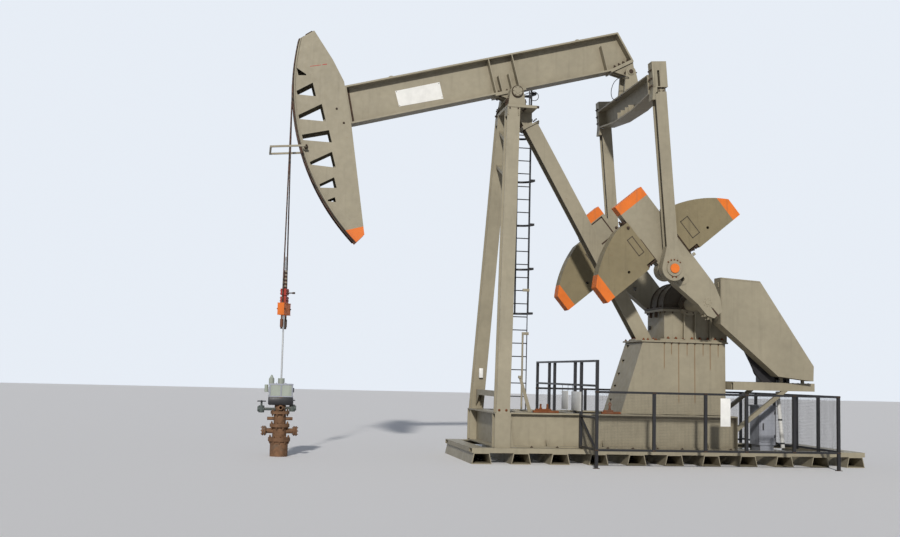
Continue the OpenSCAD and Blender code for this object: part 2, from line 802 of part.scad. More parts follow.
// Cranks and counterweights
module crankshaft() color(tan_paint) bar_y(crank_x, crank_h, shaft_r, -crank_in, crank_in);

pin_a = crank_throw * cos(pin_lead);
pin_b = crank_throw * sin(pin_lead);
spare_pin = [745, 148];

module crank_outline() difference() {
    union() {
        polygon([[crank_len, -crank_half], [crank_len, crank_half], [1340, crank_half], [740, 335],
            [100, 200], [-220, 190], [-360, 100], [-360, -130], [-100, -290], [220, -crank_half]]);
        translate([pin_a, pin_b]) circle(r = pin_boss_r);
    }
    translate([-400, -8]) square([260, 16]);
    translate(spare_pin) circle(r = 50);
}

module crank(s) color(tan_paint) crank_frame() {
    y0 = s > 0 ? crank_in : -crank_in - crank_t;
    slab_xz(y0, y0 + crank_t) crank_outline();
    face = crank_in + crank_t;
    side_bar(s, pin_a, pin_b, 105, face, face + 60);
    slab_xz(s > 0 ? face : -face - 18, s > 0 ? face + 18 : -face) translate(spare_pin) difference() {
        circle(r = 125);
        circle(r = 50);
    }
}

module crank_near() crank(-1);

module crank_far() crank(1);

weight_depth = 1085;
weight_notch = [110, 230];
weight_hole = [225, 1020];

// The outline of a counterweight beside the crank, with its flat side along Y
module weight_outline() difference() {
    intersection() {
        translate([0, crank_half]) square([weight_depth, weight_reach]);
        translate([-weight_lead, 0]) circle(r = weight_arc, $fn = 240);
    }
    translate([-1, crank_half - 1]) square(weight_notch);
    translate([weight_hole.x, weight_hole.y]) circle(r = 32);
}

module weight(s, place, side) color(weight_paint) crank_frame() {
    y0 = s * (crank_in + crank_t / 2) - weight_t / 2;
    slab_xz(y0, y0 + weight_t) mirror([0, side > 0 ? 0 : 1]) translate([place, 0]) weight_outline();
}

module weight_near_lead() weight(-1, weight_lead, 1);

module weight_near_lag() weight(-1, weight_lag, -1);

module weight_far_lead() weight(1, weight_lead, 1);

module weight_far_lag() weight(1, weight_lag, -1);

// Walking beam
head_seat = [40, 1050];
head_slant = 70;
function beam_end(v) = -beam_front - head_slant * (head_seat[1] - v) / (head_seat[1] - head_seat[0]) + seat;
kink_p = [beam_kink, beam_low];
tail_p = [tail_end, beam_low + tail_rise];
tail_q = [tail_end - tail_lean, beam_high];
beam_side = [[beam_end(beam_low), beam_low], kink_p, tail_p, tail_q, [beam_end(beam_high), beam_high]];
full_stiffeners = [-370, 190];
short_stiffeners = [-220, 20];

module walking_beam() color(tan_paint) beam_frame() {
    difference() {
        slab_xz(-beam_flange_w / 2, beam_flange_w / 2) polygon(beam_side);
        for (y = [beam_web_t / 2, -beam_web_t / 2 - beam_flange_w]) slab_xz(y, y + beam_flange_w)
            polygon(inset(beam_side, beam_flange_t));
    }
    for (s = [-1, 1]) {
        y0 = beam_web_t / 2;
        y1 = beam_flange_w / 2;
        low = beam_low + beam_flange_t;
        for (u = full_stiffeners) side_box(s, u, u + stiffener_t, y0, y1, low, beam_high - beam_flange_t);
        for (u = short_stiffeners) side_box(s, u, u + stiffener_t, y0, y1 * 0.9, low, low + 380);
        side_box(s, beam_kink - 80, beam_kink - 80 + stiffener_t, y0, y1 * 0.9, low, low + 590);
    }
}

saddle_plate_t = 40;
saddle_tube_r = 108;

module saddle_bearing_shaft() color(tan_paint) {
    plate_z = beam_low - saddle_plate_t;
    bar_y(0, saddle_h, saddle_shaft_r, -block_out + 30, block_out - 30);
    beam_frame() difference() {
        union() {
            bar_y(0, 0, saddle_tube_r, -280, 280);
            box([-400, -beam_flange_w / 2 - 20, plate_z], [330, beam_flange_w / 2 + 20, beam_low]);
            for (y = [-190, -10, 170]) slab_xz(y, y + 20)
                polygon([[-300, plate_z], [260, plate_z], [90, -60], [-90, -60]]);
        }
        box([-huge, -huge, beam_low], [huge, huge, huge]);
    }
}

house_r = 118;
house_half = 170;
cheek_t = 60;
cheek_gap = 6;
tail_slope = atan2(tail_rise, tail_end - beam_kink);

module tail_bracket() color(tan_paint) beam_frame() difference() {
    union() {
        bar_y(tail_arm, 0, house_r, -house_half, house_half);
        for (y = [-house_half, -20, house_half - 40]) slab_xz(y, y + 40)
            polygon([kink_p + [60, 60 * tan(tail_slope) - 30], [tail_arm - 100, -70], [tail_arm + 100, -70],
                tail_p - [0, 30]]);
        slab_xz(-beam_flange_w / 2, beam_flange_w / 2)
            polygon([kink_p, tail_p, tail_p - [0, 35], kink_p + [0, -35]]);
    }
    bar_y(tail_arm, 0, tail_pin_r + fit, -huge, huge);
}

// Horse head
back_edge = [[-4040, -head_down], [-beam_front - head_slant, head_seat[0]], [-beam_front, head_seat[1]],
    [-3820, 1580], [-4070, head_up]];
// Each window: distance of its back side, and height and opening there, then height and opening in front
windows = [[4470, 1360, 30, 1465, 170], [4370, 1005, 310, 1010, 80], [4285, 460, 400, 475, 90],
    [4265, -80, 280, 20, 120], [4310, -600, 360, -570, 60], [4395, -1100, 240, -1100, 80],
    [4480, -1465, 110, -1450, 30]];
rib_v = [1260, 740, 210, -270, -840, -1300, -1750];
rib_plate_t = 16;

module head_outline(r) intersection() {
    circle(r = r, $fn = 360);
    polygon(concat([[-5600, head_up - 510], [-5600, -head_down - 917]], back_edge));
}

module head_windows() for (w = windows) {
    front = sqrt(pow(plate_r - head_rim, 2) - pow(w[3], 2));
    polygon([[-w[0], w[1] + w[2] / 2], [-front, w[3] + w[4] / 2], [-front, w[3] - w[4] / 2],
        [-w[0], w[1] - w[2] / 2]]);
}

module head_front(r0, r1, y0, y1) slab_xz(y0, y1) difference() {
    head_outline(r1);
    circle(r = r0, $fn = 360);
}

module horse_head() color(tan_paint) beam_frame() {
    half = head_w / 2;
    for (y = [-half, half - head_plate_t]) slab_xz(y, y + head_plate_t) difference() {
        head_outline(plate_r);
        head_windows();
    }
    head_front(plate_r, plate_r + head_front_t, -half - front_lip, half + front_lip);
    slab_xz(-half + head_plate_t, half - head_plate_t) intersection() {
        head_outline(plate_r);
        union() {
            for (i = [0 : len(back_edge) - 2]) strip(back_edge[i], back_edge[i + 1], rib_plate_t);
            strip(back_edge[4], back_edge[4] + [-600, -200], rib_plate_t);
            for (v = rib_v) translate([-plate_r, v - rib_plate_t / 2])
                square([plate_r - 4000 - abs(v) / 8, rib_plate_t]);
        }
    }
}

module head_tracks() color("saddlebrown") beam_frame() for (s = [-1, 1])
    head_front(plate_r + head_front_t, plate_r + head_front_t + track_t,
        s * line_y - track_w / 2, s * line_y + track_w / 2);

guard_half = 420;
wire_guard_r = head_arm + 630;
wire_guard_root = plate_r - 50;
wire_guard_v = -200;
wire_guard_rise = 10;
wire_bar = 40;

module wireline_guard() color(tan_paint)
    beam_frame() translate([-wire_guard_root, 0, wire_guard_v]) rotate([0, wire_guard_rise, 0]) {
        reach = wire_guard_r - wire_guard_root;
        for (s = [-1, 1]) {
            side_box(s, -reach - wire_bar, wire_bar / 2, guard_half - wire_bar / 2, guard_half + wire_bar / 2,
                -wire_bar / 2, wire_bar / 2);
            side_box(s, -wire_bar / 2, wire_bar / 2, head_w / 2, guard_half - wire_bar / 2,
                -wire_bar / 2, wire_bar / 2);
        }
        box([-reach - wire_bar, -guard_half + wire_bar / 2, -wire_bar / 2],
            [-reach, guard_half - wire_bar / 2, wire_bar / 2]);
    }

// Equalizer and pitmans
eq_top = -equalizer_drop;
eq_end = pitman_y - pitman_d / 2;
eq_side = [[-eq_end, eq_top - equalizer_end_d], [-600, eq_top - equalizer_mid_d],
    [600, eq_top - equalizer_mid_d], [eq_end, eq_top - equalizer_end_d], [eq_end, eq_top], [-eq_end, eq_top]];
eq_flange_t = 30;
eq_web_t = 24;
box_half = 165;
box_top = -234;
box_foot = -800;
slot = [-55, -5];
pitman_top = -900;
neck_h = 480;
plate_low = pitman_top - 170;

module equalizer_beam() color(tan_paint) pitman_frame() {
    difference() {
        slab_yz(-equalizer_w / 2, equalizer_w / 2) polygon(eq_side);
        for (x = [eq_web_t / 2, -eq_web_t / 2 - equalizer_w]) slab_yz(x, x + equalizer_w)
            polygon(inset(eq_side, eq_flange_t));
    }
    for (s = [-1, 1]) {
        slab_xz(s > 0 ? house_half + cheek_gap : -house_half - cheek_gap - cheek_t,
            s > 0 ? house_half + cheek_gap + cheek_t : -house_half - cheek_gap) {
            circle(r = house_r);
            polygon([[-house_r, 0], [house_r, 0], [190, eq_top], [-190, eq_top]]);
        }
        for (y = [140, 380]) side_box(s, -equalizer_w / 2 + 20, equalizer_w / 2 - 20, y, y + 16,
            eq_top - equalizer_mid_d + eq_flange_t, eq_top - equalizer_mid_d + 190);
        difference() {
            side_box(s, -box_half, box_half, eq_end, eq_end + pitman_d, box_foot, box_top);
            side_box(s, slot[0], slot[1], eq_end - 1, eq_end + pitman_d + 1, box_foot + 20, box_foot + 370);
        }
        slab_xz(s > 0 ? eq_end : -eq_end - pitman_d, s > 0 ? eq_end + pitman_d : -eq_end)
            polygon([[-box_half, box_foot], [-box_half - 40, plate_low], [-pitman_w / 2 - 4, plate_low],
                [-pitman_w / 2 - 4, pitman_top - 40], [slot[0] - 22, pitman_top + 10], [slot[0] - 22, box_foot]]);
    }
    bar_y(0, 0, tail_pin_r, -house_half - cheek_gap - cheek_t - 20, house_half + cheek_gap + cheek_t + 20);
}

module pitman(s) color(tan_paint) pitman_frame() {
    y0 = pitman_y - pitman_d / 2;
    translate([0, s * pitman_y, -pitman_len]) difference() {
        linear_extrude(pitman_len + pitman_top - 40) h_section(pitman_w, pitman_d, pitman_flange_t, pitman_web_t);
        translate([0, -pitman_d, 0]) rotate([-90, 0, 0]) cylinder(r = wrist_r, h = 2 * pitman_d);
    }
    side_box(s, slot[0] - 18, pitman_w / 2, y0, y0 + pitman_d, pitman_top - 40, pitman_top);
    side_box(s, slot[0] + 20, pitman_w / 2 - 20, y0 + 60, y0 + pitman_d - 60, pitman_top, box_foot - seat);
    slab_xz(s > 0 ? y0 : -y0 - pitman_d, s > 0 ? y0 + pitman_d : -y0) translate([0, -pitman_len]) difference() {
        union() {
            circle(r = wrist_r);
            polygon([[-pitman_w / 2, neck_h], [-wrist_r * 0.94, wrist_r * 0.33], [wrist_r * 0.94, wrist_r * 0.33],
                [pitman_w / 2, neck_h]]);
        }
        circle(r = wrist_r - 50);
    }
}

module pitman_near() pitman(-1);

module pitman_far() pitman(1);

module wrist_bearing(s) pitman_frame() {
    y0 = pitman_y - pitman_d / 2;
    color(tan_paint) side_bar(s, 0, -pitman_len, wrist_r - 50, y0, y0 + pitman_d);
    color(tan_paint) side_bar(s, 0, -pitman_len, 165, y0 + pitman_d, y0 + pitman_d + 30);
    color(safety_paint) side_bar(s, 0, -pitman_len, 100, y0 + pitman_d + 30, y0 + pitman_d + 60);
}

module wrist_bearing_near() wrist_bearing(-1);

module wrist_bearing_far() wrist_bearing(1);

// Bridle and rod
carrier_top = carrier_h + carrier_d;
end_low = 260;
end_r = 34;

// The frame of the carrier bar, on the axis of the rod
module carrier_frame() {
    translate([-head_arm, 0, 0]) rotate(-carrier_turn) children();
}

module bridle_lines() color("saddlebrown") for (s = [-1, 1]) {
    p = [-head_arm + s * line_y * sin(carrier_turn), s * line_y * cos(carrier_turn), carrier_top + seat];
    d = [-head_arm, s * line_y, saddle_h] - p;
    translate(p) rotate([0, acos(d.z / norm(d)), atan2(d.y, d.x)]) cylinder(r = line_r, h = norm(d));
}

module carrier_bar() color(safety_paint) carrier_frame() difference() {
    union() {
        box([-carrier_w / 2, -carrier_l / 2, carrier_h], [carrier_w / 2, carrier_l / 2, carrier_top]);
        for (s = [-1, 1]) translate([0, s * line_y, carrier_h - end_low]) {
            cylinder(r = end_r, h = end_low - 90);
            cylinder(r = end_r * 0.6, h = end_low);
        }
    }
    cylinder(r = rod_r + fit, h = huge);
}

clamp_h = 310;
clamp_w = 130;

module rod_clamp() color("firebrick") carrier_frame() difference() {
    union() {
        box([-clamp_w / 2, -80, carrier_top], [clamp_w / 2, 80, carrier_top + clamp_h * 0.45]);
        translate([0, 0, carrier_top]) cylinder(r = clamp_w * 0.46, h = clamp_h);
        box([-clamp_w / 2, -80, carrier_top + clamp_h * 0.55], [clamp_w / 2, 80, carrier_top + clamp_h]);
    }
    cylinder(r = rod_r + fit, h = huge);
}

ring_r = 50;
ring_h = 40;
ring_count = 5;

module rod_rings() color("silver") translate([-head_arm, 0, carrier_top + clamp_h]) difference() {
    union() {
        cylinder(r = ring_r * 0.75, h = ring_count * ring_pitch);
        for (i = [1 : ring_count]) translate([0, 0, i * ring_pitch - ring_h]) cylinder(r = ring_r, h = ring_h);
    }
    translate([0, 0, -1]) cylinder(r = rod_r + fit, h = huge);
}

module polished_rod() color("silver") {
    translate([-head_arm, 0, rod_low]) cylinder(r = rod_r, h = rod_top - rod_low);
}

skid_beams();
sleepers();
base_beam_near();
base_beam_far();
base_cross_beams();
front_cross_beam();
gearbox_pedestal();
gearbox();
gearbox_cover();
front_leg_near();
front_leg_far();
leg_struts();
rear_leg();
post_cap();
saddle_bearings();
ladder();
ladder_brackets();
ladder_cage();
belt_guard();
motor();
motor_platform();
platform_braces();
control_cabinet();
fence_near();
fence_far();
fence_front();
fence_rear();
wellhead();
stuffing_box();
crankshaft();
crank_near();
crank_far();
weight_near_lead();
weight_near_lag();
weight_far_lead();
weight_far_lag();
walking_beam();
horse_head();
head_tracks();
saddle_bearing_shaft();
tail_bracket();
wireline_guard();
equalizer_beam();
pitman_near();
pitman_far();
wrist_bearing_near();
wrist_bearing_far();
bridle_lines();
carrier_bar();
rod_clamp();
rod_rings();
polished_rod();
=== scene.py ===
"""Looks for the beam pumping unit: paint, rust, bolts, wires, signs, hoses and the photograph's camera."""

import json
import math

import bmesh
import bpy
from mathutils import Matrix, Vector


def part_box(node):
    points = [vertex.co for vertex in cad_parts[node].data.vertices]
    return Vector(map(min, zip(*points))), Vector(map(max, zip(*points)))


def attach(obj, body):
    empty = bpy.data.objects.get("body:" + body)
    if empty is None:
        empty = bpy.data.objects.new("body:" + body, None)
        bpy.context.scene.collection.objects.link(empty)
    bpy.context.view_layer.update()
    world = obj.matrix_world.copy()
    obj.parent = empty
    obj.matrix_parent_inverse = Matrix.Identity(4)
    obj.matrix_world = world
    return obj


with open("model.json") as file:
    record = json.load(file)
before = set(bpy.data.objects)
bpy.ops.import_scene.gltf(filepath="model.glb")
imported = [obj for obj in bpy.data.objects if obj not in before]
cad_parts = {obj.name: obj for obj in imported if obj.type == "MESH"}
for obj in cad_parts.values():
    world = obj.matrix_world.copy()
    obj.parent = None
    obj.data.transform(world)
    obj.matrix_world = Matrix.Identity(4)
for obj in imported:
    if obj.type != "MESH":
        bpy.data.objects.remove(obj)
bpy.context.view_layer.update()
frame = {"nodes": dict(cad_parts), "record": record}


def box_of(node):
    """The low and the high corner of a solid's box."""
    low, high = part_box(node)
    return Vector(low), Vector(high)


def turned(place, angle):
    """A frame at a place, turned about the axis that the beam rocks on."""
    return Matrix.Translation(place) @ Matrix.Rotation(angle, 4, "Y")


# Places from the frame
JOINTS = {j["name"]: j for j in frame["record"]["behaviour"]["joints"]}
SADDLE = Vector(JOINTS["beam_rock"]["pos_m"])
CRANK = Vector(JOINTS["crank_turn"]["pos_m"])
TAIL = Vector(JOINTS["equalizer_swing"]["pos_m"])
WRIST = 0.5 * (box_of("wrist_bearing_near")[0] + box_of("wrist_bearing_near")[1])
WRIST_CAP_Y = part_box("wrist_bearing_far")[1][1] - 0.028
PITMAN_LEN = math.hypot(WRIST.x - TAIL.x, TAIL.z - WRIST.z)
HEAD_ARM = -0.5 * (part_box("polished_rod")[0][0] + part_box("polished_rod")[1][0])
WELL = Vector((-HEAD_ARM, 0, 0))
UP = Vector((0, 0, 1))

# Frames that the pieces are placed in, as they stand at rest
BEAM_TILT, CRANK_TURN, CARRIER_TURN = math.radians(15.2), math.radians(129.5), math.radians(-22)
WORLD = Matrix.Identity(4)
BEAM = turned(SADDLE, -BEAM_TILT)
CRANKS = turned(CRANK, -CRANK_TURN)
PITMANS = turned(TAIL, -math.atan2(WRIST.x - TAIL.x, TAIL.z - WRIST.z))
WELL_PLACE = Matrix.Translation(WELL)
CARRIER = WELL_PLACE @ Matrix.Rotation(CARRIER_TURN, 4, "Z")

# Colours, as linear red, green and blue
TAN = (0.318, 0.283, 0.205)
WEIGHT = (0.225, 0.185, 0.105)
ORANGE = (0.76, 0.175, 0.018)
RED = (0.42, 0.035, 0.022)
BLACK = (0.018, 0.018, 0.021)
RUST = (0.19, 0.062, 0.022)
IRON = (0.060, 0.038, 0.026)
OLD_IRON = (0.165, 0.090, 0.050)
STREAK = (0.20, 0.115, 0.045)
# Brown for the painted shade in corners
CORNER_SHADE_BROWN = (0.12, 0.085, 0.05)
DUST = (0.16, 0.13, 0.10)
GREASE = (0.045, 0.036, 0.028)
# Dark brown painted as shade: on the gearbox cover and on the weights' raised frames
SHADE_DARK = (0.062, 0.050, 0.034)
STEEL = (0.62, 0.62, 0.61)
WHITE = (0.83, 0.83, 0.81)
GREY_BLUE = (0.36, 0.38, 0.44)
GREEN_GREY = (0.36, 0.40, 0.35)
VALVE = (0.075, 0.095, 0.090)
STRAND_DARK, STRAND_PALE, STRAND_RUST = (0.022, 0.017, 0.014), (0.125, 0.085, 0.06), (0.10, 0.045, 0.03)
BAND_GAP, BAND_RIM = (0.045, 0.020, 0.014), (0.30, 0.26, 0.20)

# Camera, as the photograph was taken
CAMERA_PLACE = (-5.70, -24.53, 1.83)
CAMERA_YAW, CAMERA_PITCH, CAMERA_ROLL = (math.radians(angle) for angle in (10.12, 5.39, 1.39))
LENS_MM, SENSOR_MM, VIEW_END = 44.885, 36, 300


def add_camera():
    ahead = Vector((math.sin(CAMERA_YAW), math.cos(CAMERA_YAW), 0))
    side = Vector((math.cos(CAMERA_YAW), -math.sin(CAMERA_YAW), 0))
    view = math.cos(CAMERA_PITCH) * ahead + math.sin(CAMERA_PITCH) * UP
    up = -math.sin(CAMERA_PITCH) * ahead + math.cos(CAMERA_PITCH) * UP
    right = math.cos(CAMERA_ROLL) * side + math.sin(CAMERA_ROLL) * up
    top = -math.sin(CAMERA_ROLL) * side + math.cos(CAMERA_ROLL) * up
    data = bpy.data.cameras.new("camera")
    data.sensor_fit = "HORIZONTAL"
    data.sensor_width = SENSOR_MM
    data.lens = LENS_MM
    data.clip_end = VIEW_END
    camera = bpy.data.objects.new("camera", data)
    rotation = Matrix((right, top, -view)).transposed()
    camera.matrix_world = Matrix.Translation(CAMERA_PLACE) @ rotation.to_4x4()
    bpy.context.collection.objects.link(camera)
    bpy.context.scene.camera = camera


# Node graphs
class Graph:
    """A material's nodes, put together by short calls."""

    def __init__(self, name):
        self.material = bpy.data.materials.new(name)
        self.material.use_nodes = True
        self.tree = self.material.node_tree
        self.shader = self.tree.nodes["Principled BSDF"]
        self.place = self.tree.nodes.new("ShaderNodeTexCoord").outputs["Object"]
        self.normal = self.tree.nodes.new("ShaderNodeNewGeometry").outputs["Normal"]

    def link(self, a, b):
        self.tree.links.new(a, b)

    def put(self, value, socket):
        if isinstance(value, (int, float)):
            socket.default_value = value
        elif isinstance(value, tuple):
            socket.default_value = (*value, 1)
        else:
            self.link(value, socket)

    def math(self, kind, a, b=0.0):
        node = self.tree.nodes.new("ShaderNodeMath")
        node.operation = kind
        self.put(a, node.inputs[0])
        self.put(b, node.inputs[1])
        return node.outputs[0]

    def times(self, a, b):
        return self.math("MULTIPLY", a, b)

    def dot(self, vector, direction):
        node = self.tree.nodes.new("ShaderNodeVectorMath")
        node.operation = "DOT_PRODUCT"
        self.link(vector, node.inputs[0])
        node.inputs[1].default_value = direction
        return node.outputs["Value"]

    def scaled(self, scale):
        node = self.tree.nodes.new("ShaderNodeMapping")
        self.link(self.place, node.inputs["Vector"])
        node.inputs["Scale"].default_value = scale
        return node.outputs["Vector"]

    def noise(self, scale, detail, vector=None, rough=0.55):
        node = self.tree.nodes.new("ShaderNodeTexNoise")
        self.link(vector or self.place, node.inputs["Vector"])
        node.inputs["Scale"].default_value = scale
        node.inputs["Detail"].default_value = detail
        node.inputs["Roughness"].default_value = rough
        return node.outputs["Fac"]

    def ramp(self, value, low, high, out_low=0.0, out_high=1.0):
        node = self.tree.nodes.new("ShaderNodeMapRange")
        self.put(value, node.inputs["Value"])
        node.inputs["From Min"].default_value = low
        node.inputs["From Max"].default_value = high
        node.inputs["To Min"].default_value = out_low
        node.inputs["To Max"].default_value = out_high
        return node.outputs["Result"]

    def mix(self, fac, a, b):
        node = self.tree.nodes.new("ShaderNodeMix")
        node.data_type = "RGBA"
        self.put(fac, node.inputs["Factor"])
        self.put(a, node.inputs["A"])
        self.put(b, node.inputs["B"])
        return node.outputs["Result"]

    def shade(self, colour, fac):
        node = self.tree.nodes.new("ShaderNodeHueSaturation")
        self.put(fac, node.inputs["Value"])
        self.put(colour, node.inputs["Color"])
        return node.outputs["Color"]

    # Ambient occlusion, the mask for the painted shade in corners
    def corners(self, distance):
        node = self.tree.nodes.new("ShaderNodeAmbientOcclusion")
        node.samples = 4
        node.inputs["Distance"].default_value = distance
        return node.outputs["AO"]

    def bump(self, height, strength, distance):
        node = self.tree.nodes.new("ShaderNodeBump")
        node.inputs["Strength"].default_value = strength
        node.inputs["Distance"].default_value = distance
        self.link(height, node.inputs["Height"])
        self.link(node.outputs["Normal"], self.shader.inputs["Normal"])

    def beyond(self, matrix, axis, limit):
        """1 where the place lies beyond a limit along an axis of a turned frame."""
        direction = (matrix.to_3x3() @ Vector(axis)).normalized()
        limit += direction.dot(matrix.translation)
        return self.math("GREATER_THAN", self.dot(self.place, direction), limit)

    def run_down(self, x, z_low, z_high, width):
        """1 on a narrow upright run on a face that looks to the near side."""
        off = self.math("ABSOLUTE", self.math("SUBTRACT", self.dot(self.place, (1, 0, 0)), x))
        wide = self.ramp(off, width * 0.4, width, 1.0, 0.0)
        z = self.dot(self.place, (0, 0, 1))
        tall = self.times(self.ramp(z, z_low, z_low + 0.06), self.ramp(z, z_high, z_high + 0.02, 1.0, 0.0))
        near = self.math("GREATER_THAN", self.dot(self.normal, (0, -1, 0)), 0.5)
        return self.times(self.times(wide, tall), near)

    def finish(self, colour, rough, metallic=0.0, specular=0.4):
        self.put(colour, self.shader.inputs["Base Color"])
        self.put(rough, self.shader.inputs["Roughness"])
        self.shader.inputs["Metallic"].default_value = metallic
        self.shader.inputs["Specular IOR Level"].default_value = specular
        return self.material


def toned(colour, share):
    return tuple(min(1.0, share * c) for c in colour)


def painted(name, colour, rust, dirt_and_shade, soft=0.5, ends=(), runs=(), grain=0.5):
    """Weathered paint: faded patches, painted shade in corners, washed dark runs, rust chips, other ends and
    rust runs.
    """
    g = Graph(name)
    fade = g.ramp(g.noise(0.9, 5.0), 0.3, 0.7, 0.90, 1.08)
    spots = g.ramp(g.noise(7.0, 6.0), 0.35, 0.65, 0.95, 1.04)
    mixed = colour
    for matrix, axis, limit, other in ends:
        mixed = g.mix(g.beyond(matrix, axis, limit), mixed, other)
    mixed = g.shade(mixed, g.times(fade, spots))
    washed = g.ramp(g.noise(1.0, 5.0, g.scaled((9.0, 9.0, 0.55))), 0.54, 0.72)
    mixed = g.mix(g.times(washed, dirt_and_shade * 0.55), mixed, toned(colour, 0.45))
    # Painted shade: darkened towards brown where ambient occlusion finds corners and recesses
    corner = g.ramp(g.corners(0.16), 0.35, 0.95, 1.0, 0.0)
    mottle = g.ramp(g.noise(4.0, 5.0), 0.3, 0.65)
    mixed = g.mix(g.times(g.times(corner, mottle), dirt_and_shade), mixed, CORNER_SHADE_BROWN)
    chips = g.ramp(g.noise(17.0, 8.0, rough=0.62), 0.66, 0.70)
    patch = g.ramp(g.noise(1.7, 3.0), 0.50, 0.62)
    chips = g.times(g.times(chips, patch), rust)
    mixed = g.mix(chips, mixed, RUST)
    for run in runs:
        mixed = g.mix(g.times(g.run_down(*run), 0.85), mixed, STREAK)
    rough = g.ramp(g.noise(11.0, 4.0), 0.3, 0.7, soft - 0.08, soft + 0.12)
    fine = g.math("ADD", g.times(g.noise(90.0, 3.0), 0.4), g.times(g.noise(6.0, 4.0), 0.6))
    g.bump(g.math("SUBTRACT", fine, g.times(chips, 0.4)), grain, 0.002)
    return g.finish(mixed, rough)


def rusty(name, colour, lean):
    """Bare iron in rust tones, with pale dust on a share of it."""
    g = Graph(name)
    tone = g.ramp(g.noise(9.0, 7.0, rough=0.65), 0.3, 0.7)
    mixed = g.mix(tone, toned(colour, 0.55), toned(colour, 1.6))
    mixed = g.mix(g.ramp(g.noise(2.6, 5.0), 0.55, 0.7, 0.0, lean), mixed, DUST)
    g.bump(g.noise(55.0, 6.0, rough=0.7), 0.7, 0.003)
    return g.finish(mixed, g.ramp(tone, 0.0, 1.0, 0.72, 0.9), 0.1, 0.3)


def metal(name, colour, rough, stain):
    """Drawn steel with fine lines along it and faint stains."""
    g = Graph(name)
    tone = g.ramp(g.noise(14.0, 5.0), 0.35, 0.7, 0.0, stain)
    mixed = g.mix(tone, colour, toned(colour, 0.35))
    g.bump(g.noise(60.0, 3.0, g.scaled((1.0, 1.0, 0.05))), 0.25, 0.001)
    return g.finish(mixed, g.ramp(tone, 0.0, stain, rough, rough + 0.25), 0.9, 0.5)


def rope(name, pitch):
    """Greased wire rope: strands that wind round it, dark with rust between them."""
    g = Graph(name)
    wave = g.tree.nodes.new("ShaderNodeTexWave")
    wave.wave_type = "BANDS"
    wave.bands_direction = "DIAGONAL"
    g.link(g.place, wave.inputs["Vector"])
    wave.inputs["Scale"].default_value = 0.31 / pitch
    wave.inputs["Distortion"].default_value = 0.6
    lay = wave.outputs["Fac"]
    mixed = g.mix(lay, STRAND_DARK, STRAND_PALE)
    mixed = g.mix(g.ramp(g.noise(6.0, 4.0), 0.45, 0.65), mixed, STRAND_RUST)
    g.bump(lay, 0.8, 0.004)
    return g.finish(mixed, 0.55, 0.35, 0.5)


def banded(name, low, pitch):
    """Stacked rings: pale rims with dark gaps between them."""
    g = Graph(name)
    turn = g.math("FRACT", g.math("DIVIDE", g.math("SUBTRACT", g.dot(g.place, (0, 0, 1)), low), pitch))
    mixed = g.mix(g.math("GREATER_THAN", turn, 0.5), BAND_GAP, BAND_RIM)
    mixed = g.mix(g.ramp(g.noise(18.0, 5.0), 0.5, 0.7, 0.0, 0.7), mixed, RUST)
    return g.finish(mixed, 0.6)


# Rust runs under the pedestal's bolts, and the stacked rings on the rod
RUN_X = (3.49, 3.66, 3.83, 4.03, 4.21, 4.41, 4.58, 4.77)
RUN_LOW = (2.05, 2.36, 1.29, 2.35, 1.29, 2.35, 2.04, 2.34)
RUN_WIDTH, PEDESTAL_FLANGE = 0.014, 2.665
RINGS_LOW, RINGS_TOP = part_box("rod_rings")[0][2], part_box("rod_rings")[1][2]
RING_COUNT = 5


def make_materials():
    head_tip = [(BEAM, (0, 0, -1), 2.17, ORANGE)]
    crank_tip = [(CRANKS, (1, 0, 0), 2.655, ORANGE)]
    weight_tips = [(CRANKS, (0, 0, s), 1.60, ORANGE) for s in (1, -1)]
    wrist_caps = [(WORLD, (0, s, 0), WRIST_CAP_Y, ORANGE) for s in (-1, 1)]
    carrier_foot = [(WORLD, (0, 0, -1), -2.995, IRON)]
    runs = [(x, low, PEDESTAL_FLANGE, RUN_WIDTH) for x, low in zip(RUN_X, RUN_LOW)]
    return {
        "structure": painted("structure_paint", TAN, 0.55, 0.45),
        "head": painted("head_paint", TAN, 0.5, 0.4, ends=head_tip),
        "crank": painted("crank_paint", TAN, 0.6, 0.5, ends=crank_tip),
        "pedestal": painted("pedestal_paint", TAN, 0.35, 0.4, runs=runs),
        "wrist": painted("wrist_paint", TAN, 0.6, 0.5, ends=wrist_caps),
        "weight": painted("weight_paint", WEIGHT, 0.9, 0.7, 0.62, ends=weight_tips, grain=0.9),
        "orange": painted("orange_paint", ORANGE, 0.8, 0.7),
        "carrier": painted("carrier_paint", ORANGE, 0.8, 0.7, ends=carrier_foot),
        "red": painted("red_paint", RED, 0.5, 0.6, 0.45),
        "black": painted("black_paint", BLACK, 0.25, 0.15, 0.42),
        "white": painted("white_paint", WHITE, 0.12, 0.25, 0.4, grain=0.15),
        "grey": painted("grey_paint", GREY_BLUE, 0.15, 0.3, 0.45),
        "green": painted("green_paint", GREEN_GREY, 0.5, 0.6),
        "valve": painted("valve_paint", VALVE, 0.7, 0.6),
        # Painted shade: the gearbox cover and the weights' frame lines are darkened with it
        "shade_dark": painted("shade_dark_paint", SHADE_DARK, 0.6, 0.6, 0.62),
        "rings": banded("ring_bands", RINGS_LOW, (RINGS_TOP - RINGS_LOW) / RING_COUNT),
        "wellhead": rusty("weathered_iron", OLD_IRON, 0.75),
        "rust": rusty("rusty_iron", RUST, 0.5),
        "iron": rusty("dark_iron", IRON, 0.2),
        "grease": rusty("greased_strip", GREASE, 0.25),
        "steel": metal("polished_steel", STEEL, 0.22, 0.3),
        "rope": rope("wire_rope", 0.055),
    }


